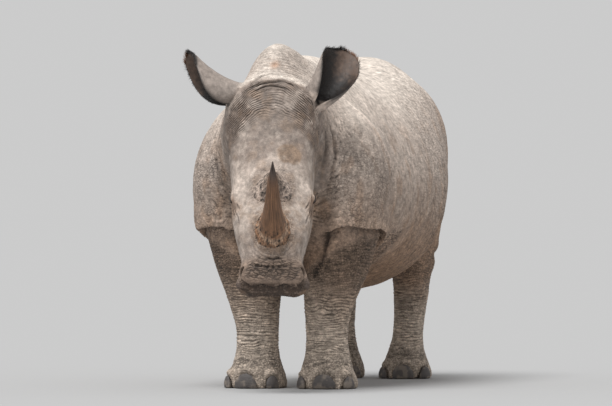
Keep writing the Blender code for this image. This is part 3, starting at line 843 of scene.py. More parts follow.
def shape_lips(skin):
    """Lifts the middle of the upper lip, rounds its corners and softens the top of the muzzle."""
    across, along, up = head_places(skin.points).T
    side = np.abs(across)
    low = skin.values["head"] * smooth(0.975, 1.02, along)
    skin.points[:, 2] += 0.016 * low * fall(0.03, 0.11, side) - 0.006 * low * bump(0.13, 0.05, side)
    top = skin.values["head"] * bump(0.905, 0.06, along) * smooth(-0.2, -0.1, up)
    skin.points[:] = skin.eased(skin.points, 14, 0.9 * top)
    for sign in (1, -1):
        lobe = blob(skin.points, head_point(sign * 0.160, 0.990, -0.118), 0.036)
        skin.points += (0.012 * lobe * sign)[:, None] * HEAD_SIDE
    skin.turn()


def sculpt_head(sculptor):
    """The head's folds, from the foot of the hump to the lips."""
    shape_lips(sculptor.skin)
    for places, size in zip(HUMP_FOLDS, HUMP_FOLD_SIZES):
        sculptor.crease(head_path(sculptor, places), 0.75 * size, size, lip=0.8, ends=0.3, wander=0.7)
    for places in HORN_CREASES:
        sculptor.crease(head_path(sculptor, places), 0.005, 0.006, lip=0.5)
    mouth = head_path(sculptor, MOUTH, raised=tuple(-HEAD_AXIS + 0.5 * HEAD_UP))
    sculptor.crease(mouth, 0.007, 0.016, lip=0.35, ends=0.08, wander=0.1)
    lip = head_path(sculptor, LIP_FOLD, raised=tuple(-HEAD_AXIS))
    sculptor.overhang(lip, 0.045, 0.03, swell=0.004, drop=0.006, depth=0.007, edge=0.003, ends=0.1)
    for _, sign in SIDES:
        sculptor.crease(head_path(sculptor, CHEEK_FOLD, sign), 0.009, 0.007, ends=0.35)
        for places in UNDER_EYE:
            sculptor.crease(head_path(sculptor, places, sign), 0.0036, 0.0044, lip=0.5, ends=0.3, wander=1.0)


def lip_band(points):
    """1 on the smooth lip under the wavy fold, 0 above it."""
    along = head_places(points)[:, 1]
    return smooth(0.545, 0.528, points[:, 2]) * smooth(0.90, 0.96, along)


def head_regions(points):
    """Masks of the head's areas."""
    across, along, up = head_places(points).T
    facing = smooth(-0.30, -0.12, up)
    side = np.abs(across)
    arch = along - 3.2 * across**2
    forehead = smooth(-0.10, -0.02, arch) * fall(0.11, 0.18, arch) * smooth(-0.24, -0.12, up)
    forehead *= 0.30 + 0.70 * smooth(0.03, 0.15, side)
    muzzle = smooth(0.86, 0.94, along) * smooth(-0.15, -0.06, up) * fall(0.975, 1.0, along)
    muzzle *= fall(0.10, 0.165, side) * (1 - 0.85 * lip_band(points))
    return {"forehead": forehead * facing, "muzzle": muzzle}


def horn_feet(points):
    """How far points lie from the middles of the horns' feet, 1 at their borders, 9 elsewhere."""
    across, along, up = head_places(points).T
    far = []
    for name, (half_width, half_length) in HORN_FEET.items():
        middle = HORNS[name][1][0]
        far.append(np.hypot(across / half_width, (along - middle) / half_length))
    return np.where(up > -0.12, np.minimum(*far), 9)


def wrinkle_head(sculptor):
    """The head's fine wrinkles, each kind in its own region."""
    skin = sculptor.skin
    regions = head_regions(skin.points)
    on_head = skin.values["head"]

    def arches(points):
        """Over the forehead, low in the middle."""
        across, along, _ = head_places(points).T
        bend = 0.9 * noise(points, 0.09, 2, 31) + 0.25 * noise(points, 0.025, 2, 35)
        line = ridges((along - 2.8 * across**2) / 0.0125 + bend, 0.9)
        return 0.0044 * line * np.clip(0.65 + 0.6 * noise(points, 0.035, 2, 32), 0, 1.3)

    def cracks(points):
        """Over the muzzle, wider than high."""
        across, along, up = head_places(points).T
        places = np.stack([across / 0.036, along / 0.0135, up / 0.04], 1)
        places += 0.40 * np.stack([noise(points, 0.03, 2, 33 + k) for k in range(3)], 1)
        gap = plates(places, 3)
        small = plates(2.2 * places, 4)
        line = ridges((along + 0.010 * noise(points * (0.5, 0.5, 1), 0.05, 3, 37)) / 0.026)
        relief = 0.0032 * (smooth(0, 0.38, gap) - 0.8) + 0.0016 * (smooth(0, 0.4, small) - 0.8)
        return relief + 0.0018 * np.minimum(line, 0.2)

    def grains(points):
        """Knots round the horns' feet."""
        return 0.0035 * (smooth(0, 0.5, plates(points / 0.0085, 6)) - 0.25)

    def foot_rings(points):
        """Wrinkles round the front horn's foot."""
        return 0.0016 * ridges(horn_feet(points) / 0.16 + 0.5 * noise(points, 0.04, 2, 38))

    def vertical(points):
        """Lines down the lip."""
        across, _, up = head_places(points).T
        return 0.0013 * ridges((across + 0.25 * up) / 0.0125 + 0.8 * noise(points, 0.03, 2, 39))

    def rays(points):
        """Wrinkles round the corners of the mouth."""
        _, along, up = head_places(points).T
        turn = np.arctan2(along - 0.985, up + 0.115)
        return 0.0026 * ridges(2.6 * turn + 0.5 * noise(points, 0.02, 2, 40))

    foot = horn_feet(skin.points)
    sculptor.shape(on_head * smooth(0.80, 0.98, foot) * fall(1.02, 1.35, foot), grains)
    below = smooth(0.78, 0.86, head_places(skin.points)[:, 1])
    sculptor.shape(on_head * below * smooth(1.05, 1.15, foot) * fall(1.4, 1.7, foot), foot_rings)
    sculptor.shape(on_head * lip_band(skin.points), vertical)
    corners = [head_point(sign * 0.168, 0.99, -0.115) for _, sign in SIDES]
    corner = sum(blob(skin.points, place, 0.055) for place in corners)
    sculptor.shape(on_head * smooth(0.05, 0.4, corner), rays)
    sculptor.shape(on_head * regions["forehead"], arches, marks=2.2)
    sculptor.shape(on_head * regions["muzzle"], cracks, marks=0.85)


# ---------------------------------------------------------------- eyes and nostrils

EYE_RADIUS = 0.024
LID_LENGTH, LID_HEIGHT = 0.0205, 0.0105  # half the opening between the lids
LID_BEND = 12 * 0.3  # how much the opening's ends curve down, per metre


def eye_ways(sign):
    """An eye's own directions: out of the head, along the face and up over its upper lid."""
    outward = unit(sign * HEAD_SIDE * 0.92 - HEAD_BACK * 0.25)
    along = square_to(HEAD_AXIS, outward)
    return outward, along, np.cross(along, outward) * sign


def open_eye(skin, side, sign):
    """Parts the skin over an eyeball and raises lids round it, with wrinkles round the lids."""
    outward, along, up = eye_ways(sign)
    offset = skin.points - EYES[side]
    which = np.flatnonzero((offset**2).sum(1) < 0.09**2)
    a, b, c = (offset[which] @ np.stack([along, up, outward], 1)).T
    b = b - LID_BEND * a**2
    ring = np.sqrt((a / LID_LENGTH) ** 2 + (b / LID_HEIGHT) ** 2)
    flat = np.sqrt(np.maximum(EYE_RADIUS**2 - a**2 - b**2, 0))
    near = np.hypot(a, b) < EYE_RADIUS
    hole = (ring < 1) & near
    lid = fall(1.0, 2.3, ring) * (ring >= 1)
    swell = 0.0035 * bump(1.45, 0.6, ring) * (c > 0)
    lift = np.where(near, np.maximum(flat + 0.0022 - c, 0), 0) * lid + swell
    folds = 0.0016 * ridges(0.9 * ring + 0.3 * noise(skin.points[which], 0.02, 2, 41))
    folds *= smooth(1.6, 2.2, ring) * fall(3.0, 6.0, ring) * (c > 0)
    lift += folds
    lift = np.where(hole, np.minimum(flat - 0.007 - c, 0), lift)
    skin.points[which] += lift[:, None] * outward
    # painted shade at the lids' rim and in the wrinkles round them
    rim = 0.9 * bump(0.95, 0.35, ring) * (c > 0)
    skin.values["hollow_shade"][which] += np.clip(-folds / 0.002, 0, 1) + rim
    skin.turn()


NOSTRIL = (0.148, 0.945, -0.078)  # the left one's place on the head
NOSTRIL_LENGTH, NOSTRIL_HEIGHT = 0.026, 0.013  # half the opening
NOSTRIL_DEPTH = 0.026
NOSTRIL_BEND = 9  # how much the opening's ends curve, per metre


def open_nostril(skin, sign):
    """A comma-shaped opening at the side of the muzzle, with a raised rim."""
    middle = head_point(*mirrored([NOSTRIL], sign)[0])
    inward = unit(-sign * HEAD_SIDE * 0.8 - 0.6 * HEAD_UP)
    long_way = square_to(HEAD_AXIS * 0.8 - 0.6 * HEAD_UP, inward)
    short_way = np.cross(inward, long_way)
    offset = skin.points - middle
    which = np.flatnonzero((offset**2).sum(1) < 0.08**2)
    a, b = (offset[which] @ np.stack([long_way, short_way], 1)).T
    b = b - sign * NOSTRIL_BEND * a**2
    ring = np.sqrt((a / NOSTRIL_LENGTH) ** 2 + (b / NOSTRIL_HEIGHT) ** 2)
    pit = fall(0.55, 1.15, ring)
    rim = bump(1.45, 0.6, ring)
    folds = 0.0012 * ridges(1.3 * ring) * smooth(1.6, 2.0, ring) * fall(2.6, 4.0, ring)
    skin.points[which] += (NOSTRIL_DEPTH * pit - 0.005 * rim - folds)[:, None] * inward
    # painted shade in the nostril's pit and its folds
    skin.values["hollow_shade"][which] += 1.3 * pit + np.clip(-folds / 0.002, 0, 1)
    skin.turn()


# ---------------------------------------------------------------- the legs', feet's and body's wrinkles


def limbs(skin):
    """The legs' share of each point, which fades where they meet the body."""
    z = skin.points[:, 2]
    fore = skin.values["fore"] * fall(0.80, 0.86, z)
    return np.maximum(fore, skin.values["hind"] * fall(0.56, 0.80, z))


def torso(skin):
    """The body's share of each point, with what the legs' share leaves."""
    whole = skin.values["body"] + skin.values["fore"] + skin.values["hind"]
    return np.clip(whole - limbs(skin), 0, 1)


def wrinkle_legs(sculptor):
    """Rings round the legs, and pebbled skin on their upper parts and on the feet."""
    skin = sculptor.skin
    legs = limbs(skin)
    z = skin.points[:, 2]
    low = fall(0.42, 0.56, z)
    rings_here = legs * smooth(0.12, 0.20, z) * (0.6 + 0.4 * low) * fall(0.78, 0.84, z)

    def rings(points):
        """Wavy wrinkles, one over the other."""
        stretched = points * (1, 1, 2.2)
        bend = 0.9 * noise(stretched, 0.16, 2, 51) + 0.45 * noise(points, 0.045, 2, 52)
        line = ridges(points[:, 2] / 0.0135 + bend, 0.7)
        return 0.0034 * line * (0.7 + 0.6 * noise(points * (1, 1, 2), 0.07, 2, 53))

    def pebbles(points):
        """Small plates with grooves between them."""
        places = points / (0.014, 0.014, 0.011) + 0.3 * noise(points, 0.03, 2, 54)[:, None]
        return 0.0026 * (smooth(0, 0.45, plates(places, 5)) - 0.7)

    sculptor.shape(rings_here, rings)
    pebbled = legs * (smooth(0.40, 0.6, z) + 1 - smooth(0.13, 0.2, z)) * fall(0.8, 0.9, z)
    sculptor.shape(np.clip(pebbled, 0, 1), pebbles)


def shape_toes(sculptor):
    """Skin that swells over each nail, with a shallow crease above it."""
    skin = sculptor.skin
    for node in NAILS:
        low, high = (np.array(corner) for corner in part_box(node))
        middle = (low + high) / 2
        limb = centre(node.replace("nail", "foot").rsplit("_", 1)[0])
        outward = unit((middle - limb) * (1, 1, 0))
        half = 0.5 * np.linalg.norm((high - low) * (outward[1], outward[0], 0))
        offset = skin.points - middle
        across = offset @ np.array((-outward[1], outward[0], 0))
        height = skin.points[:, 2] - high[2]
        near = (offset @ outward > -0.05) * (np.abs(across) < 0.15) * (np.abs(height) < 0.12)
        arch = -0.35 * half * (across / half) ** 2  # the nail's upper edge is an arch
        over = bump(0.008, 0.035, height - arch) * fall(0.8 * half, 1.25 * half, np.abs(across))
        fold = bump(0.050, 0.012, height - arch) * fall(0.7 * half, 1.3 * half, np.abs(across))
        skin.points += (near * (0.014 * over - 0.002 * fold))[:, None] * outward
        # painted shade in the crease above the nail
        skin.values["hollow_shade"] += near * 0.15 * fold
        skin.turn()


def wrinkle_body(sculptor):
    """Pebbled skin on the shoulders and low on the body, wrinkles on the neck, hump and haunches."""
    skin = sculptor.skin
    x, y, z = skin.points.T
    y = y - FORE_Y
    body = torso(skin)
    low = fall(0.75, 1.15, z)
    high = smooth(1.15, 1.35, z)
    front = fall(-0.20, 0.05, y)

    def pebbles(points):
        """Plates with grooves between them."""
        places = points / 0.019 + 0.4 * noise(points, 0.05, 2, 61)[:, None]
        return 0.0020 * (smooth(0, 0.45, plates(places, 7)) - 0.7)

    def creases(points):
        """Slanting wrinkles on the neck, beside the head."""
        _, y, z = points.T
        bend = 0.9 * noise(points, 0.12, 2, 63) + 0.3 * noise(points, 0.04, 2, 64)
        return 0.0030 * ridges((y - 0.35 * z) / 0.017 + bend) * (0.7 + 0.6 * noise(points, 0.06, 2, 65))

    def transverse(points):
        """Fine wrinkles across the hump."""
        x, y, z = points.T
        bend = 0.8 * noise(points, 0.14, 2, 66) + 0.3 * noise(points, 0.04, 2, 67)
        return 0.0014 * ridges((z + 0.5 * y - 0.8 * x**2) / 0.020 + bend)

    def lines(points):
        """Faint lines that run down the haunches."""
        bend = 1.6 * noise(points, 0.3, 2, 62)
        return 0.0012 * ridges((points[:, 1] + 0.25 * (points[:, 2] - 1.0) ** 2) / 0.035 + bend)

    sculptor.shape(body * (1 - 0.75 * high) * np.clip(0.25 + front + 0.6 * low, 0, 1), pebbles, marks=0.6)
    side = np.abs(x)
    beside_head = body * fall(-0.26, -0.14, y) * smooth(0.08, 0.14, side)
    beside_head *= fall(0.30, 0.40, side) * fall(1.30, 1.45, z)
    sculptor.shape(beside_head, creases)
    hump = body * smooth(1.38, 1.48, z) * fall(-0.15, 0.1, y)
    sculptor.shape(hump, transverse, marks=0.5)
    haunch = body * smooth(0.55, 0.85, y) * smooth(0.6, 0.8, z) * smooth(0.15, 0.3, side)
    sculptor.shape(haunch, lines)


# ---------------------------------------------------------------- the whole skin


def settle(skin):
    """Keeps the soles on the floor."""
    skin.points[:, 2] = np.maximum(skin.points[:, 2], 0.0)
    skin.turn()


def near_eyes(points, reach):
    """Which points are within a reach of an eyeball's middle."""
    return np.minimum.reduce([((points - ball) ** 2).sum(1) for ball in EYES.values()]) < reach**2


def make_skin():
    """The whole skin. It is refined step by step, before the finer folds of each part."""
    skin = first_skin()
    find_parts(skin)
    sculptor = Sculptor(skin)
    skin.refine(np.ones(len(skin.points), bool))
    sculpt_body(sculptor)
    on_head = (skin.values["head"] > 0.3) & (head_places(skin.points)[:, 2] > -0.33)
    on_limb = np.maximum(skin.values["fore"], skin.values["hind"]) > 0.3
    skin.refine(on_head | on_limb & (skin.points[:, 2] < 0.83))
    sculpt_head(sculptor)
    across, along, _ = head_places(skin.points).T
    muzzle = (along > 0.88) & (skin.values["head"] > 0.5) & (np.abs(across) < 0.23)
    forehead = head_regions(skin.points)["forehead"] * skin.values["head"] > 0.25
    skin.refine(near_eyes(skin.points, 0.07) | muzzle | forehead)
    skin.refine(near_eyes(skin.points, 0.045))
    wrinkle_head(sculptor)
    shape_toes(sculptor)
    wrinkle_legs(sculptor)
    wrinkle_body(sculptor)
    for side, sign in SIDES:
        open_eye(skin, side, sign)
        open_nostril(skin, sign)
    settle(skin)
    return skin


# ---------------------------------------------------------------- colours


def colour(red, green, blue):
    """A linear colour from its usual 0 to 255 parts."""
    parts = np.array((red, green, blue)) / 255
    return np.where(parts < 0.04045, parts / 12.92, ((parts + 0.055) / 1.055) ** 2.4)


BLEACHED_AND_HIGHLIT = colour(222, 210, 198)
DUST = colour(202, 188, 176)
HIDE = colour(184, 168, 156)
FACE = colour(148, 134, 124)
EARTH = colour(164, 130, 102)
DARK_LEG = colour(132, 112, 96)
DUSTY_FOOT = colour(206, 190, 174)
UMBER = colour(78, 58, 44)
LIP = colour(62, 47, 37)
MUZZLE = colour(150, 130, 115)
TAN = colour(144, 122, 103)
EAR_OUTSIDE = colour(140, 129, 121)
EAR_INSIDE = colour(84, 67, 56)
EAR_DEEP = colour(22, 16, 13)
LOBE = colour(128, 114, 106)
RUST = colour(118, 96, 78)
SCAR = colour(170, 128, 98)
REAR_FOOT = colour(150, 135, 124)


class Paint:
    """Colours at a skin's points, laid on coat by coat."""

    def __init__(self, skin):
        self.skin = skin
        self.colours = np.tile(HIDE, (len(skin.points), 1))
        self.patches = noise(skin.points * (1, 1, 0.6), 0.16, 4, 71)

    def mix(self, target, amount):
        """Mixes a colour in, by an amount from 0 to 1 at each point."""
        self.colours += np.clip(amount, 0, 1)[:, None] * (target - self.colours)

    def scale(self, factor):
        """Makes the colours lighter or darker by a factor at each point."""
        self.colours *= factor[:, None]


def paint_body(coat):
    """Dust above, with a painted highlight where the back's top faces up, earth below, and dark painted
    shadows beside the jaw and between the legs.
    """
    skin, mix, patches = coat.skin, coat.mix, coat.patches
    points, upward = skin.points, skin.normals[:, 2]
    x, y, z = points.T
    y = y - FORE_Y
    on_head, fore, hind = (skin.values[name] for name in ("head", "fore", "hind"))
    body = torso(skin)

    def mottles(size, height, seed, low=0.1, high=0.9):
        """Random patches, longer than wide where the height is below 1."""
        return smooth(low, high, noise(points * (1, 1, height), size, 4, seed))

    lower = fall(0.45, 1.15, z + 0.05 * patches)
    mix(EARTH, body * lower)
    # painted shadow beside the jaw, and a browner colour there
    jaws = [body_point(sign * 0.20, -0.30, 0.96) for _, sign in SIDES]
    jaw = sum(blob(points, place, (0.15, 0.24, 0.36)) for place in jaws)
    mix(DARK_LEG, body * 0.75 * smooth(0.0, 0.6, jaw))
    mix(EARTH, body * 0.34 * mottles(0.05, 0.5, 72))
    mix(DUST, (body + hind + on_head * 0.3) * smooth(0.1, 0.9, upward + 0.05 * patches))
    rump = smooth(1.25, 1.7, y) * smooth(0.85, 1.1, z) * smooth(0.2, 0.35, np.abs(x))
    mix(EARTH, body * 0.45 * rump * mottles(0.08, 0.6, 86, high=0.8))
    # sun-bleached dust and a painted highlight where the back's top faces up
    mix(BLEACHED_AND_HIGHLIT, (body + hind) * smooth(0.45, 1.0, upward) * smooth(1.1, 1.4, z))
    mix(DUST, body * 0.22 * mottles(0.045, 0.5, 73, 0.0, 0.8) * smooth(0.7, 0.95, z))
    # the legs
    fade = fall(0.36, 0.74, z + 0.04 * patches)
    in_front = np.maximum(fade, fall(-0.06, 0.12, y))
    legs = limbs(skin) * np.where(fore > hind, in_front, fade)
    mix(EARTH, np.clip(fore + hind, 0, 1) * lower)
    mix(DARK_LEG, legs * (0.85 - 0.25 * fall(0.35, 0.60, z)))
    mix(DUSTY_FOOT, legs * 0.9 * fall(0.20, 0.64, z + 0.05 * patches))
    # painted shadow on the chest between the front legs
    between = blob(points, body_point(0.02, -0.05, 0.78), (0.26, 0.50, 0.36))
    mix(UMBER, (1 - on_head) * 0.55 * smooth(0, 0.6, between))
    hump = blob(points, body_point(0, -0.35, 1.60), (0.34, 0.40, 0.28))
    coat.scale(1 - 0.20 * body * hump)


def paint_head(coat):
    """A grey face with a pale ridge, brown horn feet, dark lips, darker round the eyes, and painted shade
    under them.
    """
    skin, mix = coat.skin, coat.mix
    points, on_head = skin.points, skin.values["head"]
    along = head_places(points)[:, 1]
    mix(FACE, on_head)
    mix(FACE * 0.78, on_head * fall(0.20, 0.40, along + 0.03 * noise(points, 0.06, 3, 80)))
    mix(DUST, on_head * 0.45 * smooth(0.34, 0.5, along) * fall(0.62, 0.80, along))
    tan = blob(head_places(points), np.array((0.085, 0.345, -0.01)), (0.10, 0.085, 0.12))
    mix(TAN * 0.86, on_head * 0.9 * smooth(0.22, 0.42, tan + 0.10 * noise(points, 0.035, 3, 74)))
    mix(MUZZLE, on_head * smooth(0.86, 0.92, along))
    border = along + 0.012 * noise(points, 0.04, 2, 79)
    mix(LIP * 1.1, on_head * 0.42 * smooth(0.890, 0.945, border))
    mix(UMBER, on_head * 0.28 * head_regions(points)["forehead"])
    foot = horn_feet(points) + 0.14 * noise(points, 0.014, 2, 76)
    mix(RUST, 0.7 * fall(0.95, 1.35, foot) * on_head * smooth(0.58, 0.64, along))
    mix(REAR_FOOT, 0.9 * fall(1.0, 1.5, foot) * on_head * fall(0.60, 0.64, along))
    brown = noise(points, 0.05, 4, 77)
    above = on_head * fall(0.83, 0.90, along)
    mix(TAN, above * 0.40 * smooth(0.0, 0.9, brown))
    mix(DUST, above * 0.35 * smooth(0.0, 0.9, -brown))
    for ball in EYES.values():
        mix(UMBER, 0.85 * smooth(0.1, 0.7, blob(points, ball + 0.006 * HEAD_AXIS, 0.050)))
        mix(EARTH, 0.6 * blob(points, ball + 0.06 * HEAD_AXIS, 0.085))
        # painted shade of the wrinkles under the eye
        under_eye_shade = blob(points, ball + 0.055 * HEAD_AXIS + 0.01 * HEAD_UP, 0.075)
        mix(UMBER, 0.45 * smooth(0.2, 0.8, under_eye_shade))
    band = on_head * lip_band(points)
    mix(LIP, 0.92 * band)
    mix(MUZZLE, 0.35 * band * smooth(0.1, 0.7, noise(points, 0.012, 3, 88)))
    for _, sign in SIDES:
        lobe = blob(points, head_point(sign * 0.170, 0.985, -0.115), 0.05)
        mix(LOBE, 0.5 * smooth(0.2, 0.7, lobe))
        corner = blob(points, head_point(sign * 0.150, 1.025, -0.150), 0.045)
        mix(RUST, 0.8 * smooth(0.2, 0.7, corner))


def paint_ears(coat):
    """Ears that are dark inside, with painted shade deepest in the hollow and on the head's skin within it,
    and grey outside with dark rims.
    """
    skin, points = coat.skin, coat.skin.points
    for ear in EAR_SHEETS:
        # painted shade on the head's skin inside the ear's hollow
        hollow = ear.root + 0.16 * ear.length + 0.04 * ear.opening
        shade = smooth(0.1, 0.6, blob(points, hollow, 0.07))
        coat.mix(EAR_DEEP, (1 - skin.values["ear"]) * shade)
        which, share, turn, inside = ear.locate(points)
        # painted shade towards the root and the inner rim of the hollow
        deep = fall(0.25, 0.95, share) * 0.6 + 0.6 * smooth(-0.45, 0.5, -ear.sign * turn)
        veins = 0.12 * noise(points[which], 0.02, 3, 78)
        inner = EAR_INSIDE + smooth(0.02, 0.50, deep + veins)[:, None] * (EAR_DEEP - EAR_INSIDE)
        rim = smooth(0.90, 0.985, np.maximum(np.abs(turn), share))[:, None]
        outer = EAR_OUTSIDE + 0.75 * rim * (EAR_DEEP - EAR_OUTSIDE)
        amount = smooth(0.10, 0.2, share)[:, None]
        target = np.where(inside[:, None], inner, outer)
        coat.colours[which] += amount * (target - coat.colours[which])


def paint(skin):
    """The skin's colours at its points."""
    coat = Paint(skin)
    paint_body(coat)
    paint_head(coat)
    points, on_head = skin.points, skin.values["head"]
    bare = 1 - skin.values["ear"]
    scar = blob(points, body_point(0.03, -0.45, 1.60), (0.035, 0.10, 0.035))
    coat.mix(SCAR, torso(skin) * 0.7 * scar)
    speckle = 0.10 * noise(points, 0.012, 2, 75) + 0.16 * noise(points, 0.03, 3, 87)
    coat.scale(1 + speckle + 0.04 * coat.patches)
    # painted shade in the creases, folds, pits and hollows
    coat.scale(1 - 0.80 * np.clip(skin.values["hollow_shade"], 0, 1) * bare)
    # crests painted paler: dust on the ridges, and a painted highlight on the rolls of the folds
    crest_dust_and_highlight = 0.40 * (1 - 0.8 * on_head * smooth(0.84, 0.92, head_places(points)[:, 1])) * bare
    coat.scale(1 + crest_dust_and_highlight * np.clip(skin.values["crest"], 0, 1))
    paint_ears(coat)
    return np.clip(coat.colours, 0.002, 1)


def feel_of(skin):
    """How plated, how lined and how smooth the skin is at each point."""
    points = skin.points
    z = points[:, 2]
    y = points[:, 1] - FORE_Y
    legs = limbs(skin)
    body, on_head = torso(skin), skin.values["head"]
    front = fall(-0.15, 0.25, y)
    spread = 0.45 + 0.55 * front + 0.3 * fall(0.7, 1.0, z)
    plated = body * spread * (1 - 0.65 * smooth(1.1, 1.35, z)) + 0.8 * legs + 0.16 * on_head
    lined = 0.9 * legs * smooth(0.05, 0.12, z) + body * (0.25 + 0.35 * smooth(0.5, 0.9, y))
    lip = 0.6 * on_head * lip_band(points)
    smoothed = np.maximum.reduce([skin.values["ear"], 0.35 * on_head, lip])
    return np.clip(np.stack([plated, lined, smoothed], 1), 0, 1)


# ---------------------------------------------------------------- materials


class Material:
    """A new material, and the nodes that shade its painted colours."""

    def __init__(self, name):
        self.made = bpy.data.materials.new(name)
        self.made.use_nodes = True
        self.tree = self.made.node_tree
        self.place = self.add("TexCoord", {}).outputs["Object"]

    def fill(self, node, inputs):
        """Links a node's inputs to other nodes or sets them to values."""
        for name, value in inputs.items():
            if isinstance(value, bpy.types.NodeSocket):
                self.tree.links.new(value, node.inputs[name])
            else:
                node.inputs[name].default_value = value

    def add(self, kind, inputs, **settings):
        """A new node with its inputs and settings."""
        node = self.tree.nodes.new(f"ShaderNode{kind}")
        for name, value in settings.items():
            setattr(node, name, value)
        self.fill(node, inputs)
        return node

    def attribute(self, name):
        """A colour stored at the mesh's points."""
        return self.add("Attribute", {}, attribute_name=name).outputs["Color"]

    def noise(self, scale, detail=5, stretch=(1, 1, 1)):
        """Random values and colours in space."""
        spread = self.add("Mapping", {"Scale": stretch, "Vector": self.place}).outputs["Vector"]
        return self.add("TexNoise", {"Scale": scale, "Detail": detail, "Vector": spread})

    def ranged(self, value, source, target):
        """A value mapped from one range to another."""
        names = ("Value", "From Min", "From Max", "To Min", "To Max")
        return self.add("MapRange", dict(zip(names, (value, *source, *target)))).outputs["Result"]

    def maths(self, operation, *values):
        """Values added, multiplied or subtracted, one after the other."""
        total, *others = values
        for value in others:
            total = self.add("Math", {0: total, 1: value}, operation=operation).outputs["Value"]
        return total

    def times(self, *values):
        """The product of values."""
        return self.maths("MULTIPLY", *values)

    def less(self, value, other):
        """A value less another one."""
        return self.maths("SUBTRACT", value, other)

    def finish(self, shade, rough, strength, depth, relief, coat=0.0):
        """The material itself: painted colours times a shade, a roughness and a fine relief."""
        tint = {0: self.attribute("paint"), "Scale": shade}
        surface = {"Strength": strength, "Distance": depth, "Height": relief}
        inputs = {
            "Base Color": self.add("VectorMath", tint, operation="SCALE").outputs["Vector"],
            "Roughness": rough,
            "Normal": self.add("Bump", surface).outputs["Normal"],
            "Coat Weight": coat,
        }
        self.fill(self.tree.nodes["Principled BSDF"], inputs)
        return self.made


def hide_material():
    """Skin: the painted colours, cracked into small plates and drawn with fine lines."""
    made = Material("hide")
    ranged, times, less = made.ranged, made.times, made.less

    def cracks(scale, width, stretch):
        """0 along the borders of random plates, 1 inside them."""
        bend = {0: made.noise(30, 2).outputs["Color"], 1: (0.02, 0.02, 0.02), 2: made.place}
        bent = made.add("VectorMath", bend, operation="MULTIPLY_ADD").outputs["Vector"]
        spread = made.add("Mapping", {"Scale": stretch, "Vector": bent}).outputs["Vector"]
        cells = made.add("TexVoronoi", {"Scale": scale, "Vector": spread}, feature="DISTANCE_TO_EDGE")
        return ranged(cells.outputs["Distance"], (0, width), (0, 1))

    plated, lined, smoothed = made.add("SeparateColor", {"Color": made.attribute("feel")}).outputs
    fine = made.noise(170, 6).outputs["Fac"]
    patches = ranged(made.noise(9, 4).outputs["Fac"], (0.35, 0.65), (0.25, 1))
    large = cracks(48, 0.16, (1, 1, 1.35))
    small = cracks(115, 0.22, (1, 1, 1.2))
    lines = ranged(made.noise(22, 5, (1, 1, 4.5)).outputs["Fac"], (0.40, 0.58), (0, 1))
    faint = less(1, smoothed)
    relief = made.maths(
        "ADD",
        times(large, plated, patches, 1.3),
        times(small, faint, patches, 0.7),
        times(lines, lined, 1.4),
        times(fine, 0.6),
    )
    # painted shade in the cracks and the fine lines
    dark = made.maths(
        "ADD",
        times(less(1, large), times(plated, patches), 0.42),
        times(less(1, small), times(faint, 0.14)),
        times(less(1, lines), times(lined, 0.42)),
    )
    mottle = ranged(made.noise(42, 6).outputs["Fac"], (0.3, 0.7), (0.74, 1.26))
    speck = ranged(fine, (0.3, 0.7), (0.82, 1.18))
    shade = times(mottle, speck, less(1.06, dark))
    rough = less(ranged(fine, (0.3, 0.7), (0.74, 0.92)), times(smoothed, 0.2))
    strength = less(0.9, times(smoothed, 0.7))
    return made.finish(shade, rough, strength, 0.0022, relief)


def paint_material(name, roughness, grain, strength, depth, coat=0.0, spread=0.12):
    """A material of the painted colours, with a fine grain in its colour, roughness and relief."""
    made = Material(name)
    fine = made.noise(grain, 6).outputs["Fac"]
    shade = made.ranged(fine, (0.3, 0.7), (1 - spread, 1 + spread))
    rough = made.ranged(fine, (0.3, 0.7), (roughness - 0.08, roughness + 0.08))
    return made.finish(shade, rough, strength, depth, fine, coat)


# ---------------------------------------------------------------- pieces


def set_colours(mesh, name, colours):
    """Stores a colour at each of the mesh's points."""
    rgba = np.ones((len(colours), 4))
    rgba[:, :3] = colours
    mesh.attributes.new(name, "FLOAT_COLOR", "POINT").data.foreach_set("color", rgba.ravel())


def painted(surface, colours, name):
    """The surface as a mesh with its colours."""
    mesh = mesh_from(surface.points, surface.tris, name)
    set_colours(mesh, "paint", colours)
    return mesh


def add_piece(name, mesh, material, slot, *replaced):
    """A piece of the model, which stands for CAD nodes."""
    ob = bpy.data.objects.new(name, mesh)
    bpy.context.scene.collection.objects.link(ob)
    mesh.materials.clear()
    mesh.materials.append(material)
    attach(ob, "root")
    if replaced:
        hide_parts(*replaced)


def add_skin():
    """The skin, which stands for all the flesh."""
    skin = make_skin()
    mesh = mesh_from(skin.points, skin.tris, "skin")
    set_colours(mesh, "paint", paint(skin))
    set_colours(mesh, "feel", feel_of(skin))
    add_piece("skin", mesh, hide_material(), "hide", *FLESH, "tail", "ear_left", "ear_right")


# ---------------------------------------------------------------- horns, nails and eyes

HORN_SIDES = 220  # points round a horn
HORN_INSET = 0.0030  # how far a horn's surface lies inside its stations


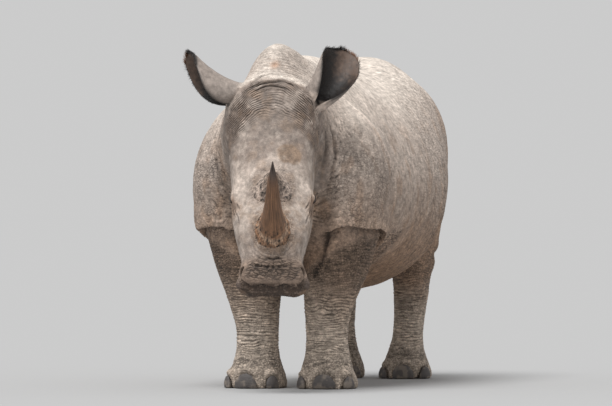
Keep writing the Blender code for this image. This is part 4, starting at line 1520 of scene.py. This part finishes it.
def horn_mesh(name):
    """A horn's surface with its points' shares of its height, their grain, and how low they are."""
    stations, foot, tip, lean, taper, ending = HORNS[name]
    stations = eased(stations, 30)
    turn = np.linspace(0, 2 * math.pi, HORN_SIDES, endpoint=False)
    rings, shares = [], []
    for share, width, length in stations:
        along = foot[0] + (tip[0] - foot[0]) * share - lean * math.sin(math.pi * max(share, 0))
        up = foot[1] + (tip[1] - foot[1]) * share
        across = width * np.sin(turn) * (1 + taper * np.cos(turn))
        places = np.stack([across, along + length * np.cos(turn), np.full(HORN_SIDES, up)], 1)
        rings.append(POLL + places @ np.stack([HEAD_SIDE, HEAD_AXIS, HEAD_UP]))
        shares += [share] * HORN_SIDES
    points, tris = tube(rings)
    shares = np.array(shares + [stations[0][0], 1.0])
    surface = Surface(points, tris)
    around = np.concatenate([np.tile(turn, len(rings)), [0, 0]])
    low = fall(*ending, shares)
    grain = noise(np.stack([4.5 * np.cos(around), 4.5 * np.sin(around), 2.2 * shares], 1), 0.30, 3, 81)
    ringed = ridges(7 * np.maximum(shares, 0) ** 0.8 + 0.25 * noise(surface.points, 0.03, 2, 82))
    fibres = noise(surface.points, 0.007, 2, 83)
    height = 0.0011 * grain + 0.00042 * ringed * (1 - low) + 0.0016 * fibres * low
    surface.push((height - HORN_INSET) * fall(0.93, 1.0, shares))
    return surface, shares, grain, low


HORN_FOOT = colour(120, 88, 64)
HORN_MIDDLE = colour(118, 86, 62)
HORN_TIP = colour(84, 72, 66)
REAR_TIP = colour(116, 97, 82)


def paint_horn(name, shares, grain, low, points):
    """A horn's colours: brown fibres, and at the front one's foot a pale ring over a rusty border."""
    if name == "horn_front":
        colours = HORN_MIDDLE + low[:, None] * (HORN_FOOT - HORN_MIDDLE)
        colours += smooth(0.72, 0.92, shares)[:, None] * (HORN_TIP - colours)
        border = fall(-0.01, 0.10, shares + 0.04 * noise(points, 0.010, 2, 85))
        colours += 0.6 * border[:, None] * (RUST - colours)
        ring = bump(0.105, 0.045, shares + 0.02 * noise(points, 0.03, 2, 89))
        colours += 0.70 * ring[:, None] * (1.3 * TAN - colours)
    else:
        colours = REAR_FOOT + smooth(0.2, 0.95, shares)[:, None] * (REAR_TIP - REAR_FOOT)
    spots = noise(points, 0.013, 3, 84) * low
    return np.clip(colours * (1 + 0.50 * grain + 0.9 * spots)[:, None], 0.002, 1)


def nail_mesh(name):
    """A toenail with fine growth ridges, from the CAD nail's form."""
    mesh = with_modifiers(node_mesh(name), ("REMESH", {"mode": "VOXEL", "voxel_size": 0.0055}))
    surface = Surface.of(mesh)
    surface.relax(10)
    surface.refine(np.ones(len(surface.points), bool), passes=3)
    surface.push(0.0008 * noise(surface.points * (1, 1, 0.25), 0.010, 2, 91))
    bend = 0.6 * noise(surface.points, 0.03, 2, 92)
    surface.push(0.0004 * ridges(surface.points[:, 2] / 0.013 + bend) - 0.0010)
    surface.points[:, 2] = np.maximum(surface.points[:, 2], 0.0)
    surface.turn()
    return surface


NAIL = colour(82, 77, 75)
NAIL_WORN = colour(122, 112, 103)


def paint_nail(points):
    """A nail's colours, worn in patches and at the floor."""
    low = fall(0.0, 0.03, points[:, 2])
    worn = smooth(0.0, 0.9, noise(points, 0.03, 3, 93) + 0.5 * low)
    return NAIL + worn[:, None] * (NAIL_WORN - NAIL)


IRIS = colour(58, 38, 26)
EYE_WHITE = colour(66, 54, 48)
PUPIL = colour(8, 7, 7)
IRIS_SHARE = 0.58  # of the eyeball's radius


def eye_mesh(side, sign):
    """An eyeball with a low cornea, and its colours: a level pupil in a brown iris."""
    gaze = unit(sign * HEAD_SIDE * 0.80 - HEAD_BACK * 0.55)
    level = square_to(HEAD_AXIS, gaze)
    upright = np.cross(gaze, level)
    bm = bmesh.new()
    bmesh.ops.create_icosphere(bm, subdivisions=5, radius=1)
    mesh = bpy.data.meshes.new(f"eye_{side}")
    bm.to_mesh(mesh)
    bm.free()
    surface = Surface.of(mesh)
    way = surface.points.copy()
    ahead, a, b = (way @ np.stack([gaze, level, upright], 1)).T
    away = np.hypot(a, b)
    cornea = 0.0012 * fall(0, 0.62, away) * (ahead > 0)
    surface.points = EYES[side] + way * (EYE_RADIUS - 0.0008 + cornea)[:, None]
    surface.turn()
    pupil = fall(0.9, 1.15, np.hypot(a / 0.24, b / 0.15))
    iris = fall(IRIS_SHARE, IRIS_SHARE + 0.08, away)
    streaks = noise(np.stack([np.arctan2(a, b) * 3, away, away], 1), 0.25, 2, 95)
    brown = IRIS * (1 + 0.35 * streaks)[:, None]
    colours = EYE_WHITE + (iris * (ahead > 0))[:, None] * (brown - EYE_WHITE)
    colours += (pupil * (ahead > 0))[:, None] * (PUPIL - colours)
    return surface, colours


def add_hard_parts():
    """The horns, the nails and the eyes."""
    horn = paint_material("horn", 0.62, 260, 0.5, 0.0012, spread=0.2)
    for name in HORNS:
        surface, shares, grain, low = horn_mesh(name)
        mesh = painted(surface, paint_horn(name, shares, grain, low, surface.points), name)
        add_piece(f"{name}_grown", mesh, horn, "horn", name)
    nail = paint_material("nail", 0.6, 180, 0.4, 0.0010)
    for name in sorted(NAILS):
        surface = nail_mesh(name)
        mesh = painted(surface, paint_nail(surface.points), name)
        add_piece(f"{name}_grown", mesh, nail, "nails", name)
    eye = paint_material("eye", 0.14, 300, 0.05, 0.0002, coat=0.3, spread=0.05)
    for side, sign in SIDES:
        name = f"eyeball_{side}"
        add_piece(name, painted(*eye_mesh(side, sign), name), eye, "eyes", f"eye_{side}")


# ---------------------------------------------------------------- hair


TUFT_STEPS = 5  # rings of points along a tuft
TUFT_PATCH = 0.003  # how wide a tuft's patch is on the map that the baking uses


def tufts(roots, ways, lies, lengths, widths, bends):
    """Three-sided tufts of hair, as points and triangles, with each point's tuft and share.

    A tuft starts at its root, leaves it along its way and bends over towards its lie.
    """
    count = len(roots)
    share = np.linspace(0, 1, TUFT_STEPS)
    across = unit(np.cross(ways, lies))
    deep = np.cross(ways, across)
    curve = (share - 0.5 * bends[:, None] * share**2)[..., None] * ways[:, None]
    curve = curve + (0.5 * bends[:, None] * share**2)[..., None] * lies[:, None]
    middle = roots[:, None] + lengths[:, None, None] * curve
    half = widths[:, None] * (1 - share) ** 0.6 + 0.00005
    rings = []
    for k in range(3):
        turn = 2 * math.pi * k / 3
        side = math.cos(turn) * across + math.sin(turn) * deep
        rings.append(middle + half[..., None] * side[:, None])
    points = np.stack(rings, 2)  # by tuft, step and corner
    index = np.arange(count * TUFT_STEPS * 3).reshape(count, TUFT_STEPS, 3)
    tris = []
    for k in range(3):
        n = (k + 1) % 3
        a, b = index[:, :-1, k], index[:, :-1, n]
        c, d = index[:, 1:, n], index[:, 1:, k]
        tris += [np.stack([a, b, c], -1).reshape(-1, 3), np.stack([a, c, d], -1).reshape(-1, 3)]
    tris += [index[:, 0, ::-1], index[:, -1]]
    tuft = np.repeat(np.arange(count), TUFT_STEPS * 3)
    along = np.tile(np.repeat(share, 3), count)
    return points.reshape(-1, 3), np.vstack(tris), tuft, along


def hair_piece(name, parts, colours, material, places):
    """A piece of hair from its tufts, each with its own patch of the map that the baking uses."""
    points, tris, tuft, along = parts
    mesh = mesh_from(points, tris, name)
    tip = 0.75 + 0.25 * along
    set_colours(mesh, "paint", colours[tuft] * tip[:, None])
    spread = TUFT_PATCH * np.stack([along, (np.arange(len(points)) % 3) / 2], 1)
    spots = (places[tuft] + spread)[tris.ravel()]
    mesh.uv_layers.new(name="OFBake").data.foreach_set("uv", spots.ravel())
    add_piece(name, mesh, material, "hide")


EAR_FRINGE, EAR_INNER = 1500, 1300  # tufts on an ear's rims and in its hollow
TAIL_TUFTS = 1500
LASHES = 90  # on each eye

FRINGE = colour(34, 27, 24)
FRINGE_CORNER = colour(138, 92, 58)
INNER_HAIR = colour(78, 62, 52)
TAIL_HAIR = colour(40, 32, 28)
LASH = colour(30, 24, 21)


def ear_hair(ear, material):
    """The fringe on an ear's rims, longest at the tip, and the short hair in its hollow."""
    random = np.random.default_rng(5 + ear.sign)
    side = random.choice((-1, 1), EAR_FRINGE)
    share = random.uniform(0.35, 1.0, EAR_FRINGE)
    over_tip = random.uniform(0, 1, EAR_FRINGE) < 0.45
    tip_turn = random.uniform(-1, 1, EAR_FRINGE)
    turn = np.where(over_tip, tip_turn, side * random.uniform(0.965, 1.0, EAR_FRINGE))
    share = np.where(over_tip, random.uniform(1.0, 1.02, EAR_FRINGE), share)
    share = np.concatenate([share, random.uniform(0.15, 0.95, EAR_INNER)])
    turn = np.concatenate([turn, random.uniform(-0.92, 0.92, EAR_INNER)])
    count = len(share)
    fringe = np.arange(count) < EAR_FRINGE

    roots = ear.at(share, turn)
    normal = ear.facing(share, turn)
    out = unit(ear.at(share, turn + EAR_STEP * np.sign(turn)) - roots)
    onward = unit(ear.at(share + EAR_STEP, turn) - roots)
    at_tip = smooth(0.9, 1.0, share)[:, None]
    edge = unit(out * (1 - at_tip) + onward * at_tip)
    jitter = random.normal(0, 0.25, (count, 3))
    ways = unit(np.where(fringe[:, None], edge, -0.5 * normal + 0.6 * onward) + jitter)
    lies = unit(onward + 0.4 * jitter - 0.3 * np.array((0, 0, 1)))
    lengths = np.where(fringe, 0.010 + 0.016 * smooth(0.6, 1.0, share), 0.011)
    lengths *= random.uniform(0.6, 1.3, count)
    widths = np.where(fringe, 0.00065, 0.00032) * random.uniform(0.7, 1.2, count)
    roots = roots + np.where(fringe[:, None], -0.002 * edge, -0.0035 * normal)
    parts = tufts(roots, ways, lies, lengths, widths, random.uniform(0.3, 0.9, count))

    corner = smooth(0.93, 1.0, share) * smooth(0.35, 0.8, ear.sign * turn)
    colours = FRINGE + (0.85 * corner * fringe)[:, None] * (FRINGE_CORNER - FRINGE)
    colours += (~fringe)[:, None] * (INNER_HAIR - colours)
    colours *= random.uniform(0.7, 1.25, count)[:, None]
    places = np.stack([0.02 + 0.9 * share / 1.03, 0.5 + 0.45 * turn], 1)
    hair_piece(f"ear_hair_{ear.side}", parts, colours, material, places)


def tail_hair(material):
    """The stiff tuft on the tail's two edges and its end."""
    random = np.random.default_rng(9)
    count = TAIL_TUFTS
    share = random.uniform(0.60, 1.0, count) ** 0.8
    turn = random.uniform(0, 2 * math.pi, count)
    share = np.clip(share, 0.62, 1.0)
    middles, halves = tail_line(share)
    out = np.stack([np.cos(turn), np.sin(turn) * 0.85, 0 * turn], 1)
    roots = middles + 0.8 * halves[:, None] * out
    down = np.tile((0.0, 0.0, -1.0), (count, 1))
    jitter = random.normal(0, 0.14, (count, 3))
    ways = unit(0.32 * out + down + jitter)
    room = roots[:, 2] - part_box("tail")[0][2]
    lengths = np.minimum(random.uniform(0.07, 0.16, count), 0.95 * room)
    widths = random.uniform(0.0008, 0.0014, count)
    lies = unit(down + 0.3 * jitter)
    parts = tufts(roots, ways, lies, lengths, widths, random.uniform(0.4, 0.9, count))
    colours = TAIL_HAIR * random.uniform(0.6, 1.7, count)[:, None]
    places = np.stack([0.02 + 0.94 * turn / (2 * math.pi), 0.02 + 0.9 * share], 1)
    hair_piece("tail_hair", parts, colours, material, places)


def lashes(side, sign, material):
    """Short lashes on the upper lid."""
    random = np.random.default_rng(21 + sign)
    outward, along, up = eye_ways(sign)
    turn = random.uniform(0.12 * math.pi, 0.88 * math.pi, LASHES)
    a = LID_LENGTH * 1.03 * np.cos(turn)
    b = LID_HEIGHT * 1.15 * np.sin(turn) + LID_BEND * a**2
    c = np.sqrt(np.maximum(EYE_RADIUS**2 - a**2 - b**2, 0)) + 0.0015
    ways = np.stack([a * 12, 0.45 + 0 * a, 0.9 + 0 * a], 1) + random.normal(0, 0.12, (LASHES, 3))
    basis = np.stack([along, up, outward])
    roots = EYES[side] + np.stack([a, b, c], 1) @ basis
    parts = tufts(
        roots,
        unit(ways @ basis),
        unit(np.tile(-up + 0.3 * outward, (LASHES, 1))),
        random.uniform(0.008, 0.013, LASHES),
        np.full(LASHES, 0.0003),
        random.uniform(0.3, 0.8, LASHES),
    )
    colours = LASH * np.ones((LASHES, 1))
    places = np.stack([0.05 + 0.9 * turn / math.pi, np.full(LASHES, 0.5)], 1)
    hair_piece(f"lashes_{side}", parts, colours, material, places)


def add_hair():
    """The ears' hair, the tail's tuft and the lashes."""
    material = paint_material("hair", 0.55, 400, 0.1, 0.0003, spread=0.15)
    for ear in EAR_SHEETS:
        ear_hair(ear, material)
    tail_hair(material)
    for side, sign in SIDES:
        lashes(side, sign, material)


# ---------------------------------------------------------------- the picture

PHOTO_AZIMUTH = math.radians(14.75)  # how far round the animal the photo's camera stands
CAMERA_DISTANCE = 30.0
CAMERA_HEIGHT = 1.0
CAMERA_TILT = math.radians(90 - 0.152)  # 90 degrees is level
CAMERA_LENS = 354.7
AIM_BACK, AIM_ASIDE = 0.017, 0.0637  # where the camera points, behind and beside the front feet


def camera():
    """The photo's view, through a long lens from almost level."""
    cam = bpy.data.objects.new("camera", bpy.data.cameras.new("camera"))
    bpy.context.scene.collection.objects.link(cam)
    bpy.context.scene.camera = cam
    back = np.array((math.sin(PHOTO_AZIMUTH), -math.cos(PHOTO_AZIMUTH), 0))
    side = np.array((math.cos(PHOTO_AZIMUTH), math.sin(PHOTO_AZIMUTH), 0))
    aim = body_point(0, AIM_BACK, CAMERA_HEIGHT) + AIM_ASIDE * side
    cam.location = aim + CAMERA_DISTANCE * back
    cam.rotation_euler = (CAMERA_TILT, 0, PHOTO_AZIMUTH)
    cam.data.sensor_width = 36
    cam.data.lens = CAMERA_LENS
    cam.data.clip_end = 400


SKY = 0.60  # the studio's own light, and what the camera sees of it
SUN_WAY = Vector((-0.10, -0.50, 1.0)).normalized()  # from the animal to the light
SUN_SPREAD = math.radians(35)
FLOOR_SHADE = 0.40
FLOOR_REACH = 150


def lights():
    """A broad, soft light from above and a little ahead, in a pale room."""
    lamp = bpy.data.lights.new("key", "SUN")
    lamp.angle = SUN_SPREAD
    # with this strength the floor, far off, looks as bright as the sky behind it
    lamp.energy = math.pi * SKY * (1 - FLOOR_SHADE) / FLOOR_SHADE / SUN_WAY.z
    ob = bpy.data.objects.new("key", lamp)
    ob.rotation_euler = SUN_WAY.to_track_quat("Z", "Y").to_euler()
    bpy.context.scene.collection.objects.link(ob)
    world = bpy.data.worlds.new("studio")
    bpy.context.scene.world = world
    world.use_nodes = True
    background = world.node_tree.nodes["Background"]
    background.inputs["Color"].default_value = (1, 1, 1, 1)
    background.inputs["Strength"].default_value = SKY


def ground():
    """A plain floor under the feet, which belongs to the stage and not to the part."""
    corners = [(FLOOR_REACH * x, FLOOR_REACH * y, 0) for x, y in ((-1, -1), (1, -1), (1, 1), (-1, 1))]
    floor = bpy.data.objects.new("floor", mesh_from(corners, [(0, 1, 2, 3)]))
    bpy.context.scene.collection.objects.link(floor)
    material = bpy.data.materials.new("floor")
    material.use_nodes = True
    shader = material.node_tree.nodes["Principled BSDF"]
    shader.inputs["Base Color"].default_value = (FLOOR_SHADE, FLOOR_SHADE, FLOOR_SHADE, 1)
    shader.inputs["Roughness"].default_value = 1
    shader.inputs["Specular IOR Level"].default_value = 0
    floor.data.materials.append(material)


# ---------------------------------------------------------------- the whole

add_skin()
add_hard_parts()
add_hair()
camera()
lights()
ground()
bpy.context.scene.view_settings.view_transform = "Standard"
